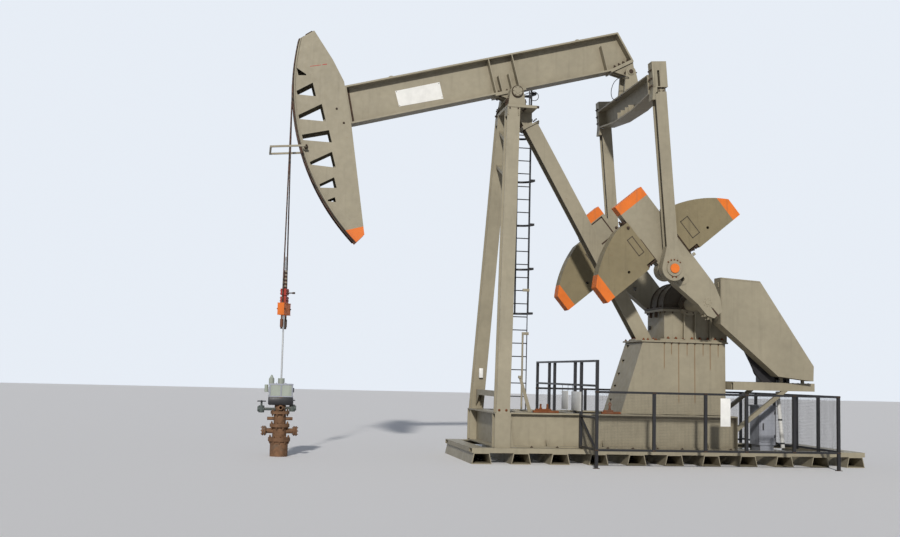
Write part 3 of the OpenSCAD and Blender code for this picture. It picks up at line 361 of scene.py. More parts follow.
MATERIALS = make_materials()
PAINT_LOOKS = ("structure", "weight", "orange", "red", "black", "grey", "green")
SLOT_OF = {look: look + "_paint" for look in PAINT_LOOKS}
SLOT_OF |= {"rust": "rusty_iron", "steel": "polished_steel", "rope": "wire_rope"}
LOOK_OF_SLOT = {slot: look for look, slot in SLOT_OF.items()}
SLOT_OF |= {"crank": "structure_paint", "shade_dark": "structure_paint", "white": "grey_paint",
            "valve": "green_paint", "iron": "rusty_iron", "wellhead": "rusty_iron"}
LOOK_OF_NODE = {
    "horse_head": "head", "crank_near": "crank", "crank_far": "crank", "gearbox_pedestal": "pedestal",
    "wrist_bearing_near": "wrist", "wrist_bearing_far": "wrist", "head_tracks": "grease",
    # The gearbox cover is painted dark for shade
    "gearbox_cover": "shade_dark", "wellhead": "wellhead", "carrier_bar": "carrier", "rod_rings": "rings",
}


def dress_frame():
    for part in frame["record"]["subparts"]:
        look = LOOK_OF_NODE.get(part["node"], LOOK_OF_SLOT[part["material_slot"]])
        node = frame["nodes"][part["node"]]
        node.data.materials.clear()
        node.data.materials.append(MATERIALS[look])


# Pieces that are built here
def around(count, radius, start=0.0):
    """Offsets evenly round a circle, the first one turned by a share of a step."""
    angles = [2 * math.pi * (i + start) / count for i in range(count)]
    return [(radius * math.cos(a), radius * math.sin(a)) for a in angles]


def arc(radius, start, stop, count, y):
    """Points on a circle in X and Z about the origin, angles in degrees up from -X."""
    angles = [math.radians(start + (stop - start) * i / (count - 1)) for i in range(count)]
    return [(-radius * math.cos(a), y, radius * math.sin(a)) for a in angles]


def smooth(points, steps=6):
    """A rounded run through the given points."""
    points = [Vector(p) for p in points]
    ends = [2 * points[0] - points[1]] + points + [2 * points[-1] - points[-2]]
    run = []
    for a, b, c, d in zip(ends, ends[1:], ends[2:], ends[3:]):
        for k in range(steps):
            t = k / steps
            run.append(0.5 * (2 * b + (c - a) * t + (2 * a - 5 * b + 4 * c - d) * t ** 2
                              + (3 * b - a - 3 * c + d) * t ** 3))
    return run + [points[-1]]


class Piece:
    """One mesh that rides on a body, built from plain forms placed in a frame."""

    SHARP_ANGLE = math.radians(38)

    def __init__(self, name, body, look, matrix=WORLD):
        self.name, self.body, self.look, self.matrix = name, body, look, matrix
        self.mesh = bmesh.new()

    def add(self, verts, faces):
        made = [self.mesh.verts.new(self.matrix @ Vector(v)) for v in verts]
        for face in faces:
            self.mesh.faces.new([made[i] for i in face])

    def box(self, p, q, bevel):
        """A block between two opposite corners."""
        spans = [sorted(pair) for pair in zip(p, q)]
        part = bmesh.new()
        bmesh.ops.create_cube(part, size=1)
        for v in part.verts:
            v.co = Vector([span[c > 0] for span, c in zip(spans, v.co)])
        bmesh.ops.bevel(part, geom=part.edges[:], offset=bevel, segments=2, affect="EDGES", profile=0.5)
        verts = list(part.verts)
        index = {v: i for i, v in enumerate(verts)}
        self.add([v.co for v in verts], [[index[v] for v in f.verts] for f in part.faces])
        part.free()

    def skin(self, rings, sides, closed=False):
        """A surface over rings of equal count, with ends unless it closes on itself."""
        count = len(rings)
        faces = []
        for i in range(count if closed else count - 1):
            n = (i + 1) % count
            for k in range(sides):
                m = (k + 1) % sides
                faces.append((i * sides + k, i * sides + m, n * sides + m, n * sides + k))
        if not closed:
            faces.append(tuple(reversed(range(sides))))
            faces.append(tuple(range((count - 1) * sides, count * sides)))
        self.add([v for ring in rings for v in ring], faces)

    def bar(self, p, q, radius, sides, end=None):
        """A round or tapered bar from p to q, with rounded rims."""
        p, q = Vector(p), Vector(q)
        axis = (q - p).normalized()
        a = axis.orthogonal().normalized()
        b = axis.cross(a)
        end = radius if end is None else end
        rim = min(radius, end) * 0.12
        steps = ((p, radius - rim), (p + axis * rim, radius), (q - axis * rim, end), (q, end - rim))
        self.skin([[centre + a * c + b * d for c, d in around(sides, r)] for centre, r in steps], sides)

    def bolt(self, place, axis, size, length):
        """A hex head on a washer, with the shank's end standing out."""
        p, axis = Vector(place), Vector(axis).normalized()
        washer, head = p + axis * size * 0.18, p + axis * size * 0.85
        self.bar(p, washer, size * 1.05, 16)
        self.bar(washer, head, size * 0.85, 6)
        self.bar(head, head + axis * length * 0.4, size * 0.42, 10)

    def tube(self, points, radius, sides, closed=False):
        """A round tube along a run of points, without twist."""
        points = [Vector(p) for p in points]
        count = len(points)
        rings = []
        normal = None
        for i, p in enumerate(points):
            before = points[(i - 1) % count] if closed or i else p
            after = points[(i + 1) % count] if closed or i < count - 1 else p
            along = (after - before).normalized()
            if normal is None:
                normal = along.orthogonal().normalized()
            normal = (normal - along * normal.dot(along)).normalized()
            other = along.cross(normal)
            rings.append([p + normal * c + other * d for c, d in around(sides, radius)])
        self.skin(rings, sides, closed)

    def plate(self, outline, low, high, across="y"):
        """A flat outline made solid between two distances across it."""
        n = len(outline)
        verts = [(u, d, v) if across == "y" else (d, u, v) for d in sorted((low, high)) for u, v in outline]
        faces = [tuple(range(n)), tuple(reversed(range(n, 2 * n)))]
        faces += [(i, i + n, (i + 1) % n + n, (i + 1) % n) for i in range(n)]
        self.add(verts, faces)

    def frame(self, corners, low, high, width):
        """A thin rim along the sides of a four-cornered panel."""
        for (u0, v0), (u1, v1) in zip(corners, corners[1:] + corners[:1]):
            d = Vector((u1 - u0, v1 - v0)).normalized() * width
            self.plate([(u0 - d.x + d.y, v0 - d.y - d.x), (u1 + d.x + d.y, v1 + d.y - d.x),
                        (u1 + d.x - d.y, v1 + d.y + d.x), (u0 - d.x - d.y, v0 - d.y + d.x)], low, high)

    def done(self, bevel=0.0):
        bmesh.ops.recalc_face_normals(self.mesh, faces=self.mesh.faces)
        data = bpy.data.meshes.new(self.name)
        self.mesh.to_mesh(data)
        self.mesh.free()
        item = bpy.data.objects.new(self.name, data)
        bpy.context.collection.objects.link(item)
        data.materials.append(MATERIALS[self.look])
        for polygon in data.polygons:
            polygon.use_smooth = len(polygon.vertices) == 4
        data.set_sharp_from_angle(angle=self.SHARP_ANGLE)
        if bevel:
            edge = item.modifiers.new("edge", "BEVEL")
            edge.width = bevel
            edge.segments = 2
        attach(item, self.body)


# Walking beam: u runs along it and v up from the saddle's axis
BEAM_LOW, BEAM_HIGH, BEAM_FRONT = 0.112, 0.967, -3.60
FLANGE_T, WEB_Y = 0.036, 0.012
KINK_U, TAIL_SLOPE = 2.42, 0.14 / 0.59


def beam_details():
    bolts = Piece("beam_bolts", "walking_beam", "iron", BEAM)
    for s in (-1, 1):
        for u in (-0.29, -0.10, 0.12):
            bolts.bolt((u, s * 0.16, BEAM_LOW + FLANGE_T), UP, 0.030, 0.05)
            bolts.bolt((u, s * 0.16, BEAM_LOW - 0.04), -UP, 0.030, 0.04)
        for u in (2.56, 2.673, 2.786, 2.899):
            flange = BEAM_LOW + (u - KINK_U) * TAIL_SLOPE
            bolts.bolt((u, s * 0.15, flange + FLANGE_T), (-TAIL_SLOPE, 0, 1), 0.040, 0.06)
            bolts.bolt((u, s * 0.15, flange - 0.035), (TAIL_SLOPE, 0, -1), 0.028, 0.03)
    bolts.done()
    lugs = Piece("beam_lugs", "walking_beam", "structure", BEAM)
    for u in (-2.605, 1.86):
        half_circle = around(20, 1.0)[:11]
        rise = [(u + 0.07 * c, BEAM_HIGH + 0.012 + 0.05 * d) for c, d in half_circle]
        lugs.plate([(u + 0.07, BEAM_HIGH)] + rise + [(u - 0.07, BEAM_HIGH)], -0.03, 0.03)
    lugs.done(0.003)
    welds = Piece("beam_welds", "walking_beam", "structure", BEAM)
    for s in (-1, 1):
        for v in (BEAM_LOW + FLANGE_T, BEAM_HIGH - FLANGE_T):
            welds.bar((BEAM_FRONT, s * WEB_Y, v), (KINK_U - 0.04, s * WEB_Y, v), 0.009, 6)
        for u in (-0.37, -0.35, 0.19, 0.21):
            welds.bar((u, s * WEB_Y, 0.16), (u, s * WEB_Y, 0.92), 0.007, 6)
    welds.done()
    sign = Piece("beam_sign", "walking_beam", "white", BEAM)
    # A dark strip on the web along the head's back edge: painted shadow in the gap between head and beam
    gap_shade = Piece("head_gap_shade", "walking_beam", "iron", BEAM)
    screws = Piece("beam_sign_screws", "walking_beam", "iron", BEAM)
    for s in (-1, 1):
        web, face, gap_shade_face = (s * (WEB_Y + out) for out in (0, 0.004, 0.012))
        sign.plate([(-2.584, 0.672), (-2.581, 0.311), (-1.550, 0.289), (-1.545, 0.678)], web, face)
        gap_shade.plate([(-3.70, 0.155), (-3.645, 0.155), (-3.595, 0.925), (-3.65, 0.925)], web, gap_shade_face)
        for u in (-2.56, -1.57):
            for v in (0.33, 0.65):
                screws.bolt((u, face, v), (0, s, 0), 0.009, 0.006)
    sign.done(0.001)
    gap_shade.done(0.002)
    screws.done()


# Horse head and the bridle on it
HEAD_Y, HEAD_TOP, HEAD_TOP_U = 0.25, 2.29, -4.07
LINE_R, LINE_Y = 0.015, 0.12
TRACK_R, FRONT_LOW, FRONT_TOP = HEAD_ARM - 0.019, -29.6, 26.0


def top_edge(u):
    """Height of the head's sloped top edge at a place along the beam."""
    return HEAD_TOP - (HEAD_TOP_U - u) / 3


def head_details():
    bolts = Piece("head_bolts", "walking_beam", "iron", BEAM)
    mark = Piece("head_mark", "walking_beam", "red", BEAM)
    welds = Piece("track_welds", "walking_beam", "structure", BEAM)
    hinge = Piece("wire_guard_hinges", "walking_beam", "iron", BEAM)
    for s in (-1, 1):
        for u, v in ((-3.99, 0.49), (-3.91, 0.15)):
            bolts.bolt((u, s * HEAD_Y, v), (0, s, 0), 0.024, 0.04)
        side, face = s * HEAD_Y, s * (HEAD_Y + 0.0015)
        mark.plate([(-4.345, 1.519), (-4.10, 1.503), (-4.10, 1.515), (-4.345, 1.531)], side, face)
        mark.plate([(-4.07, 1.500), (-3.97, 1.494), (-3.97, 1.512), (-4.07, 1.518)], side, face)
        for edge in (-0.047, 0.047):
            welds.tube(arc(TRACK_R - 0.009, -30.0, 25.6, 90, s * LINE_Y + edge), 0.006, 6)
        hinge.bar((-4.84, s * 0.25, -0.20), (-4.84, s * 0.285, -0.20), 0.045, 12)
        hinge.bolt((-4.84, s * 0.44, -0.20), (0, s, 0), 0.022, 0.03)
    for piece in (bolts, mark, welds, hinge):
        piece.done()


def wires_on_head():
    """The part of the bridle that lies on the head: over its top edge and down the front to the low tip."""
    wires = Piece("bridle_on_head", "walking_beam", "rope", BEAM)
    sockets = Piece("bridle_sockets", "walking_beam", "iron", BEAM)
    for s in (-1, 1):
        y = s * LINE_Y
        over = [(u, y, top_edge(u) + 0.021) for u in (-4.385, -4.25, -4.12)]
        front = arc(HEAD_ARM - 0.004, FRONT_LOW, FRONT_TOP, 120, y)
        wires.tube(front + [(-4.423, y, 2.198)] + over, LINE_R, 10)
        sockets.bar((-4.26, y, top_edge(-4.26) + 0.024), (-4.10, y, top_edge(-4.10) + 0.024), 0.030, 14)
    front, rear = (-4.42, top_edge(-4.42)), (-4.08, top_edge(-4.08))
    sockets.plate([front, (front[0], front[1] + 0.012), (rear[0], rear[1] + 0.012), rear], -0.22, 0.22)
    wires.done()
    sockets.done()


# Cranks and counterweights: u runs out along the crank, v towards its leading edge
CRANK_FACE, CRANK_EDGE, CRANK_INNER = 1.63, 0.375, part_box("crank_far")[0][1]
WEIGHT_FACE, WEIGHT_BACK, WEIGHT_EDGE = 1.665, 1.335, 0.585
PAD = [(2.10, -0.27), (2.62, -0.27), (2.62, 0.27), (2.10, 0.27)]
WEIGHT_PANELS = ([(1.73, 0.48), (2.15, 0.48), (2.15, 0.62), (1.73, 0.62)],
                 [(1.30, -0.60), (1.74, -0.60), (1.74, -0.80), (1.30, -0.80)])


def weight_details(s, tag):
    # The frames' dark lines are painted shade along their edges
    rims = Piece("weight_frames_" + tag, "cranks", "shade_dark", CRANKS)
    for face, out in ((WEIGHT_FACE, s), (WEIGHT_BACK, -s)):
        for corners in WEIGHT_PANELS:
            rims.frame(corners, s * face, s * face + out * 0.008, 0.008)
    rims.done(0.002)
    bolts = Piece("weight_bolts_and_edge_shade_" + tag, "cranks", "iron", CRANKS)
    for start, side in ((1.365, 1), (1.04, -1)):
        u, end = start + 0.055, start + 1.085
        for y in (1.42, 1.58):
            bolts.bar((u, s * y, side * CRANK_EDGE), (u, s * y, side * WEIGHT_EDGE), 0.022, 10)
            bolts.bolt((u, s * y, side * 0.50), -UP * side, 0.048, 0.03)
            bolts.bar((u, s * y, side * 0.54), (u, s * y, side * 0.605), 0.050, 6)
        for y in (1.41, 1.585):
            bolts.bar((end - 0.01, s * y, side * 0.43), (end + 0.055, s * y, side * 0.43), 0.042, 6)
            bolts.bar((end + 0.05, s * y, side * 0.43), (end + 0.095, s * y, side * 0.43), 0.024, 10)
        bolts.bar((end - 0.10, s * 1.66, side * 0.44), (end - 0.10, s * 1.705, side * 0.44), 0.032, 6)
        # A dark strip on the crank's face along the weight's edge: painted shadow of the step
        bolts.box((start + 0.02, s * 1.64 - 0.012, side * 0.362 - 0.009),
                  (start + 0.62, s * 1.64 + 0.012, side * 0.362 + 0.009), 0.003)
    bolts.done()


def crank_details():
    for s, tag in ((-1, "near"), (1, "far")):
        weight_details(s, tag)
        clamps = Piece("crank_clamps_" + tag, "cranks", "crank", CRANKS)
        for u, high, low in ((-0.30, 0.17, -0.165), (-0.20, 0.19, -0.225)):
            for y in (1.44, 1.56):
                clamps.bolt((u, s * y, high), UP, 0.034, 0.05)
                clamps.bolt((u, s * y, low), -UP, 0.034, 0.05)
        for u, v in around(8, 0.09):
            clamps.bolt((u, s * CRANK_FACE, v), (0, s, 0), 0.011, 0.01)
        clamps.bar((0, s * CRANK_FACE, 0), (0, s * (CRANK_FACE + 0.006), 0), 0.055, 24)
        for u, v in ((0.02, -0.31), (0.18, -0.36)):
            clamps.bolt((u, s * 1.52, v), -UP, 0.034, 0.05)
        clamps.box((0.975, s * 1.645 - 0.016, -0.44), (1.04, s * 1.645 + 0.016, -0.378), 0.006)
        clamps.done(0.002)
        pads = Piece("crank_pads_" + tag, "cranks", "crank", CRANKS)
        pads.plate(PAD, s * CRANK_INNER, s * (CRANK_INNER - 0.012))
        pads.done(0.002)
        # Painted shade: a dark rim round each pad and a dark slit over the clamp slot at the crank's root
        gap_shades = Piece("crank_gap_shades_" + tag, "cranks", "iron", CRANKS)
        gap_shades.frame(PAD, s * CRANK_INNER, s * (CRANK_INNER - 0.014), 0.016)
        gap_shades.plate([(-0.395, -0.026), (-0.175, -0.018), (-0.175, 0.012), (-0.395, 0.016)],
                   s * CRANK_FACE, s * (CRANK_FACE + 0.003))
        gap_shades.done()


# Pitmans and equalizer, in the frame that hangs from the tail bearing
PITMAN_FACE, EQUALIZER_TOP = 1.975, -0.47


def pitman_details():
    bolts = Piece("pitman_bolts", "equalizer", "rust", PITMANS)
    dark = Piece("equalizer_bolts", "equalizer", "iron", PITMANS)
    flats = Piece("pitman_plates", "equalizer", "structure", PITMANS)
    for s in (-1, 1):
        for a in (math.radians(degrees) for degrees in (40, 62, 84, 106, 130, 255, 280)):
            place = (0.188 * math.cos(a), s * PITMAN_FACE, -PITMAN_LEN + 0.188 * math.sin(a))
            bolts.bolt(place, (0, s, 0), 0.018, 0.03)
        for u in (-0.02, 0.07):
            for y in (1.785, 1.935):
                dark.bolt((u, s * y, -0.90), UP, 0.024, 0.05)
                dark.bolt((u, s * y, -0.80), -UP, 0.022, 0.03)
        for v in (-0.42, -0.60, -0.76):
            for y in (1.80, 1.92):
                dark.bolt((-0.172, s * y, v), (-1, 0, 0), 0.024, 0.03)
        dark.bar((0, s * 0.25, 0), (0, s * 0.266, 0), 0.052, 20)
        flats.bar((0, s * 0.236, 0), (0, s * 0.252, 0), 0.085, 24)
        for u in (-0.10, 0.10):
            dark.bolt((u * 1.25, s * 0.206, -0.02), (u, 0, 0.02), 0.022, 0.03)
            for y in (0.275, 0.33):
                dark.bolt((u * 1.5, s * y, EQUALIZER_TOP), UP, 0.026, 0.04)
        flats.plate([(-0.19, EQUALIZER_TOP), (0.19, EQUALIZER_TOP), (0.15, -0.452), (-0.15, -0.452)],
                    s * 0.237, s * 0.262)
        flats.box((-0.165, s * 1.985, -0.80), (-0.120, s * PITMAN_FACE, -0.30), 0.003)
    bolts.done()
    dark.done()
    flats.done(0.003)
    hose = Piece("tail_grease_hose", "equalizer", "black", PITMANS)
    loop = [(-0.06, -0.236, -0.16), (-0.10, -0.275, -0.14), (-0.26, -0.28, -0.135), (-0.42, -0.25, -0.24),
            (-0.49, -0.19, -0.42), (-0.46, -0.12, -0.58), (-0.34, -0.07, -0.63), (-0.245, -0.05, -0.57),
            (-0.198, -0.05, -0.49)]
    hose.tube(smooth(loop), 0.008, 8)
    hose.done()


# Post and saddle
CAP_TOP, CAP_LOW, BASE_TOP = 7.85, 7.79, 1.06
LEG_FOOT, LEG_TOP = Vector((-0.385, 1.34, BASE_TOP)), Vector((-0.075, 0.48, CAP_LOW))
REAR_TOP, REAR_FOOT = Vector((0.43, 0, 7.53)), Vector((3.20, 0, 2.70))
REAR = turned(REAR_TOP, math.pi - math.atan2(REAR_FOOT.x - REAR_TOP.x, REAR_TOP.z - REAR_FOOT.z))
GUSSET_LOW, GUSSET_TOP = 1.12, 1.38


def leg_place(z):
    """The middle of the far front leg at a height."""
    return LEG_FOOT.lerp(LEG_TOP, (z - BASE_TOP) / (CAP_LOW - BASE_TOP))


def post_details():
    dark = Piece("post_bolts_and_cap_shade", "stand", "iron")
    covers = Piece("saddle_covers", "stand", "structure")
    for s in (-1, 1):
        for x in (-0.20, 0.20):
            for y in (0.39, 0.54):
                dark.bar((x, s * y, CAP_TOP), (x, s * y, 8.0), 0.018, 10)
                dark.bolt((x, s * y, 7.93), UP, 0.034, 0.04)
                dark.bolt((x, s * y, CAP_LOW), -UP, 0.030, 0.05)
        for x, z in around(6, 0.092):
            dark.bolt((x, s * 0.655, SADDLE.z + z), (0, s, 0), 0.010, 0.012)
        # A dark ring round the bearing cover: painted shade round the cap
        dark.bar((0, s * 0.622, SADDLE.z), (0, s * 0.632, SADDLE.z), 0.132, 36)
        for x in (-0.17, 0.02):
            dark.bolt((x, s * 0.645, CAP_LOW - 0.03), (0, s, 0), 0.016, 0.02)
        covers.bar((0, s * 0.630, SADDLE.z), (0, s * 0.655, SADDLE.z), 0.116, 36)
        covers.bar((0, s * 0.650, SADDLE.z), (0, s * 0.662, SADDLE.z), 0.055, 28)
    dark.done()
    covers.done()
    joint = Piece("rear_leg_bolts", "stand", "iron", REAR)
    for x in (-0.188, 0.188):
        for y in (-0.12, 0.0, 0.12):
            joint.bolt((x, y, 0.04), UP, 0.024, 0.05)
            joint.bolt((x, y, -0.04), -UP, 0.024, 0.03)
    joint.done()


def leg_details():
    feet = Piece("leg_foot_bolts", "stand", "rust")
    plates = Piece("leg_gussets", "stand", "structure")
    foot, head = leg_place(GUSSET_TOP), leg_place(7.4)
    inner = foot.y - 0.148
    for s in (-1, 1):
        for x in (-0.469, -0.316):
            feet.bolt((x, s * 1.481, 1.11), (0, s, 0.12), 0.026, 0.03)
        for x, y in ((2.99, 0.0), (2.99, 0.12), (3.40, 0.14)):
            feet.bolt((x, s * y, 2.74), UP, 0.026, 0.05)
        for x in (foot.x - 0.055, foot.x + 0.043):
            corners = ((inner, GUSSET_TOP), (inner - 0.26, GUSSET_TOP), (inner + 0.030, GUSSET_LOW))
            plates.plate([(s * y, z) for y, z in corners], x, x + 0.012, "x")
        for x in (head.x - 0.12, head.x + 0.12):
            corners = ((-0.13, 7.60), (0.15, 7.60), (0.10, CAP_LOW), (-0.22, CAP_LOW))
            plates.plate([(s * (head.y + y), z) for y, z in corners], x - 0.006, x + 0.006, "x")
    feet.done()
    plates.done(0.003)


def saddle_hoses():
    """Grease lines at the saddle, fixed at both ends."""
    hose = Piece("saddle_hoses", "stand", "black")
    x, y = 0.352, -0.32
    hose.bar((x, y, CAP_TOP), (x, y, 8.25), 0.014, 10)
    loop = [(x, y, 8.24)]
    for i in range(26):
        a = math.radians(150 - i * 15)
        loop.append((0.455 + 0.103 * math.cos(a), y - 0.0012 * i, 8.138 + 0.103 * math.sin(a)))
    hose.tube(smooth(loop + [(0.40, y - 0.02, 7.98), (0.37, y - 0.01, CAP_TOP)], 3), 0.008, 8)
    hose.tube(smooth([(0.14, -0.42, 8.08), (0.24, -0.36, 8.16), (0.31, -0.33, 8.20), (x, y, 8.22)]), 0.007, 8)
    for end in (x, 0.37):
        hose.bar((end, y, CAP_TOP), (end, y, CAP_TOP + 0.03), 0.022, 6)
    hose.done()
    line = Piece("grease_line", "stand", "structure")
    run = [(-0.145, -0.45, 8.06), (-0.20, -0.36, 8.02), (-0.225, -0.10, 7.97), (-0.225, 0.25, 7.93),
           (-0.222, 0.50, 7.90), (-0.225, 0.52, 7.83)]
    line.tube(smooth(run), 0.008, 8)
    line.done()
    knob = Piece("grease_nipples", "stand", "iron")
    knob.bar((-0.215, 0.52, 7.82), (-0.255, 0.52, 7.82), 0.024, 12)
    knob.bar((-0.13, -0.45, 8.06), (-0.17, -0.45, 8.06), 0.016, 12)
    knob.bar((0.45, -0.62, 7.82), (0.50, -0.62, 7.82), 0.03, 12)
    knob.done()


# Ladder
def ladder_details():
    low, high = box_of("ladder")
    rail, y = high.x - 0.006, low.y
    boxes = Piece("ladder_splices", "stand", "structure")
    for z in (2.81, 3.815):
        boxes.box((rail - 0.13, y - 0.045, z - 0.032), (rail + 0.03, y - 0.004, z + 0.032), 0.006)
    boxes.tube(smooth([(rail - 0.11, y - 0.025, z) for z in (1.07, 1.9, 2.78)]), 0.022, 12)
    boxes.done()
    dark = Piece("ladder_bolts", "stand", "iron")
    feet = Piece("ladder_feet", "stand", "black")
    for x in (low.x + 0.006, rail):
        for z in (7.805, 7.835):
            dark.bolt((x - 0.03, 0.68, z), (-1, 0, 0), 0.010, 0.01)
        for z in (BASE_TOP + 0.05, BASE_TOP + 0.12):
            dark.bolt((x, y, z), (0, -1, 0), 0.012, 0.015)
        feet.box((x - 0.045, y - 0.02, BASE_TOP), (x + 0.045, y + 0.06, BASE_TOP + 0.010), 0.003)
    dark.done()
    feet.done()


# Base, skid and pedestal
def clamp_details():
    """Rusty bolts on the pedestal and the two rusty clamps that lie on the near base beam."""
    rust = Piece("clamps_on_base", "stand", "rust")
    dark = Piece("pedestal_bolts", "stand", "iron")
    for s in (-1, 1):
        for x in RUN_X:
            dark.bolt((x, s * 0.618, PEDESTAL_FLANGE), -UP, 0.022, 0.04)
        for x in (3.593, 3.776, 3.963, 4.155, 4.347, 4.53, 4.709, 4.88):
            rust.bolt((x, s * 0.562, 2.745), UP, 0.036, 0.05)
        for x in (3.0, 3.10, 3.285):
            rust.bolt((x, s * 0.60, 2.70), UP, 0.032, 0.05)
    dark.done()
    y, block = -1.075, BASE_TOP + 0.05
    for x0, x1, pegs, high in ((0.36, 0.92, (0.53, 0.678), 0.14), (1.88, 2.31, (2.07,), 0.12)):
        rust.box((x0, -1.13, BASE_TOP), (x1, -1.03, block), 0.008)
        rust.box((x0 + 0.05, -1.10, block), (x1 - 0.16, -1.05, block + 0.035), 0.006)
        for x in pegs:
            rust.bar((x, y, block), (x, y, block + high), 0.022, 10)
            rust.bolt((x, y, block + 0.035), UP, 0.034, 0.02)
    ring = ((2.07, 1.22), (2.05, 1.27), (2.075, 1.30), (2.10, 1.27), (2.085, 1.24))
    rust.tube(smooth([(x, y, z) for x, z in ring]), 0.010, 8)
    rust.done()


def base_details():
    foot = BASE_TOP + 0.014
    brace = Piece("foot_braces", "stand", "structure")
    brace.plate([(0.070, 1.834), (0.135, 1.834), (0.375, foot), (0.290, foot)], -0.906, -0.894)
    brace.box((0.0, -0.935, BASE_TOP), (0.375, -0.865, foot), 0.003)
    brace.box((0.07, -0.93, 1.78), (0.125, -0.87, 1.84), 0.004)
    for s in (-1, 1):
        for x in (0.65, 1.9, 3.1, 4.3):
            brace.plate([(s * 1.11, 0.37), (s * 1.23, 0.37), (s * 1.23, 0.375), (s * 1.11, 0.50)],
                        x - 0.006, x + 0.006, "x")
    brace.done(0.002)
    clips = Piece("skid_clips", "stand", "iron")
    for s in (-1, 1):
        for i in range(9):
            x = 0.30 + 0.56 * i
            clips.box((x - 0.03, s * 1.255 - 0.02, 0.33), (x + 0.03, s * 1.255 + 0.02, 0.345), 0.003)
            clips.bolt((x, s * 1.262, 0.345), UP, 0.016, 0.02)
        for x in (-0.52, -0.25):
            clips.bolt((x, s * 1.45, 0.33), UP, 0.020, 0.03)
    clips.done()


# Gearbox and drive
SPLIT_Z, SPLIT_HALF = 3.41, 0.05
MOTOR_X, MOTOR_Z, FIN_COUNT = 6.35, 2.14, 28


def gearbox_details():
    dark = Piece("gearbox_bolts", "stand", "iron")
    for s in (-1, 1):
        for x in (3.51 + 0.186 * i for i in range(9)):
            if abs(x - CRANK.x) > 0.29:
                for side in (-1, 1):
                    dark.bolt((x, s * 0.562, SPLIT_Z + side * SPLIT_HALF), UP * side, 0.024, 0.05)
        for x, z in around(8, 0.195, 0.5):
            dark.bolt((CRANK.x + x, s * 0.65, CRANK.z + z), (0, s, 0), 0.016, 0.02)
    for y in (-0.17, 0.17):
        dark.box((3.42, y - 0.025, SPLIT_Z - 0.17), (3.485, y + 0.025, SPLIT_Z - 0.045), 0.008)
    for y in (-0.40, -0.14, 0.14, 0.40):
        for side in (-1, 1):
            dark.bolt((3.47, y, SPLIT_Z + side * SPLIT_HALF), UP * side, 0.022, 0.04)
    dark.done()


def drive_details():
    # A black sheet under the belt guard's lower edge: painted shade of the guard's underside
    underside_shade = Piece("belt_guard_underside_shade", "stand", "black")
    outline = [(5.25, 2.58), (6.0, 1.92), (6.0, 1.83), (5.70, 1.83), (5.52, 2.05), (5.43, 2.24)]
    underside_shade.plate(outline, -0.86, -0.80)
    underside_shade.done(0.003)
    seams = Piece("belt_guard_seams", "stand", "structure")
    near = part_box("belt_guard")[0][1]
    for y, out in ((near, -0.006), (near + 0.35, 0.006)):
        seams.plate([(4.56, 3.10), (4.575, 3.10), (4.575, 4.09), (4.56, 4.095)], y, y + out)
        seams.plate([(4.56, 4.075), (5.46, 4.035), (5.462, 4.05), (4.56, 4.095)], y, y + out)
    for z in (3.3, 3.9):
        seams.bar((4.536, near + 0.12, z), (4.536, near + 0.12, z + 0.12), 0.012, 8)
    seams.done(0.001)
    breather = Piece("gearbox_breather", "stand", "black")
    breather.bar((4.55, 0.20, 3.72), (4.55, 0.20, 3.92), 0.03, 12)
    breather.bar((4.55, 0.20, 3.92), (4.55, 0.20, 3.98), 0.05, 16)
    breather.bar((3.51, 0.36, 3.02), (3.46, 0.36, 3.02), 0.05, 16)
    breather.done()
    treads = Piece("platform_treads", "stand", "structure")
    low, high = box_of("motor_platform")
    for x in (low.x + 0.10 + 0.125 * i for i in range(15)):
        for y0, y1 in ((low.y + 0.14, -0.90), (0.50, high.y - 0.04)):
            treads.box((x, y0, high.z), (x + 0.02, y1, high.z + 0.006), 0.001)
    treads.done()


def motor_details():
    fins = Piece("motor_fins", "stand", "black")
    for i, (c, t) in enumerate(around(FIN_COUNT, 1.0)):
        if not 240 < 360 * i / FIN_COUNT < 300:
            across = Vector((-t, c)) * 0.004
            inner, outer = Vector((c, t)) * 0.245, Vector((c, t)) * 0.272
            corners = [inner - across, outer - across, outer + across, inner + across]
            fins.plate([(v.x + MOTOR_X, v.y + MOTOR_Z) for v in corners], -0.48, 0.40)
    fins.box((MOTOR_X - 0.11, -0.16, MOTOR_Z + 0.24), (MOTOR_X + 0.11, 0.10, MOTOR_Z + 0.37), 0.012)
    for i in range(6):
        fins.bar((MOTOR_X, 0.558, MOTOR_Z), (MOTOR_X, 0.566, MOTOR_Z), 0.185 - 0.03 * i, 24)
    fins.done()


# Control cabinet and its riser
RISER_FOOT, RISER_TOP = Vector((6.43, -0.40, 0.34)), Vector((6.30, -0.40, 1.62))


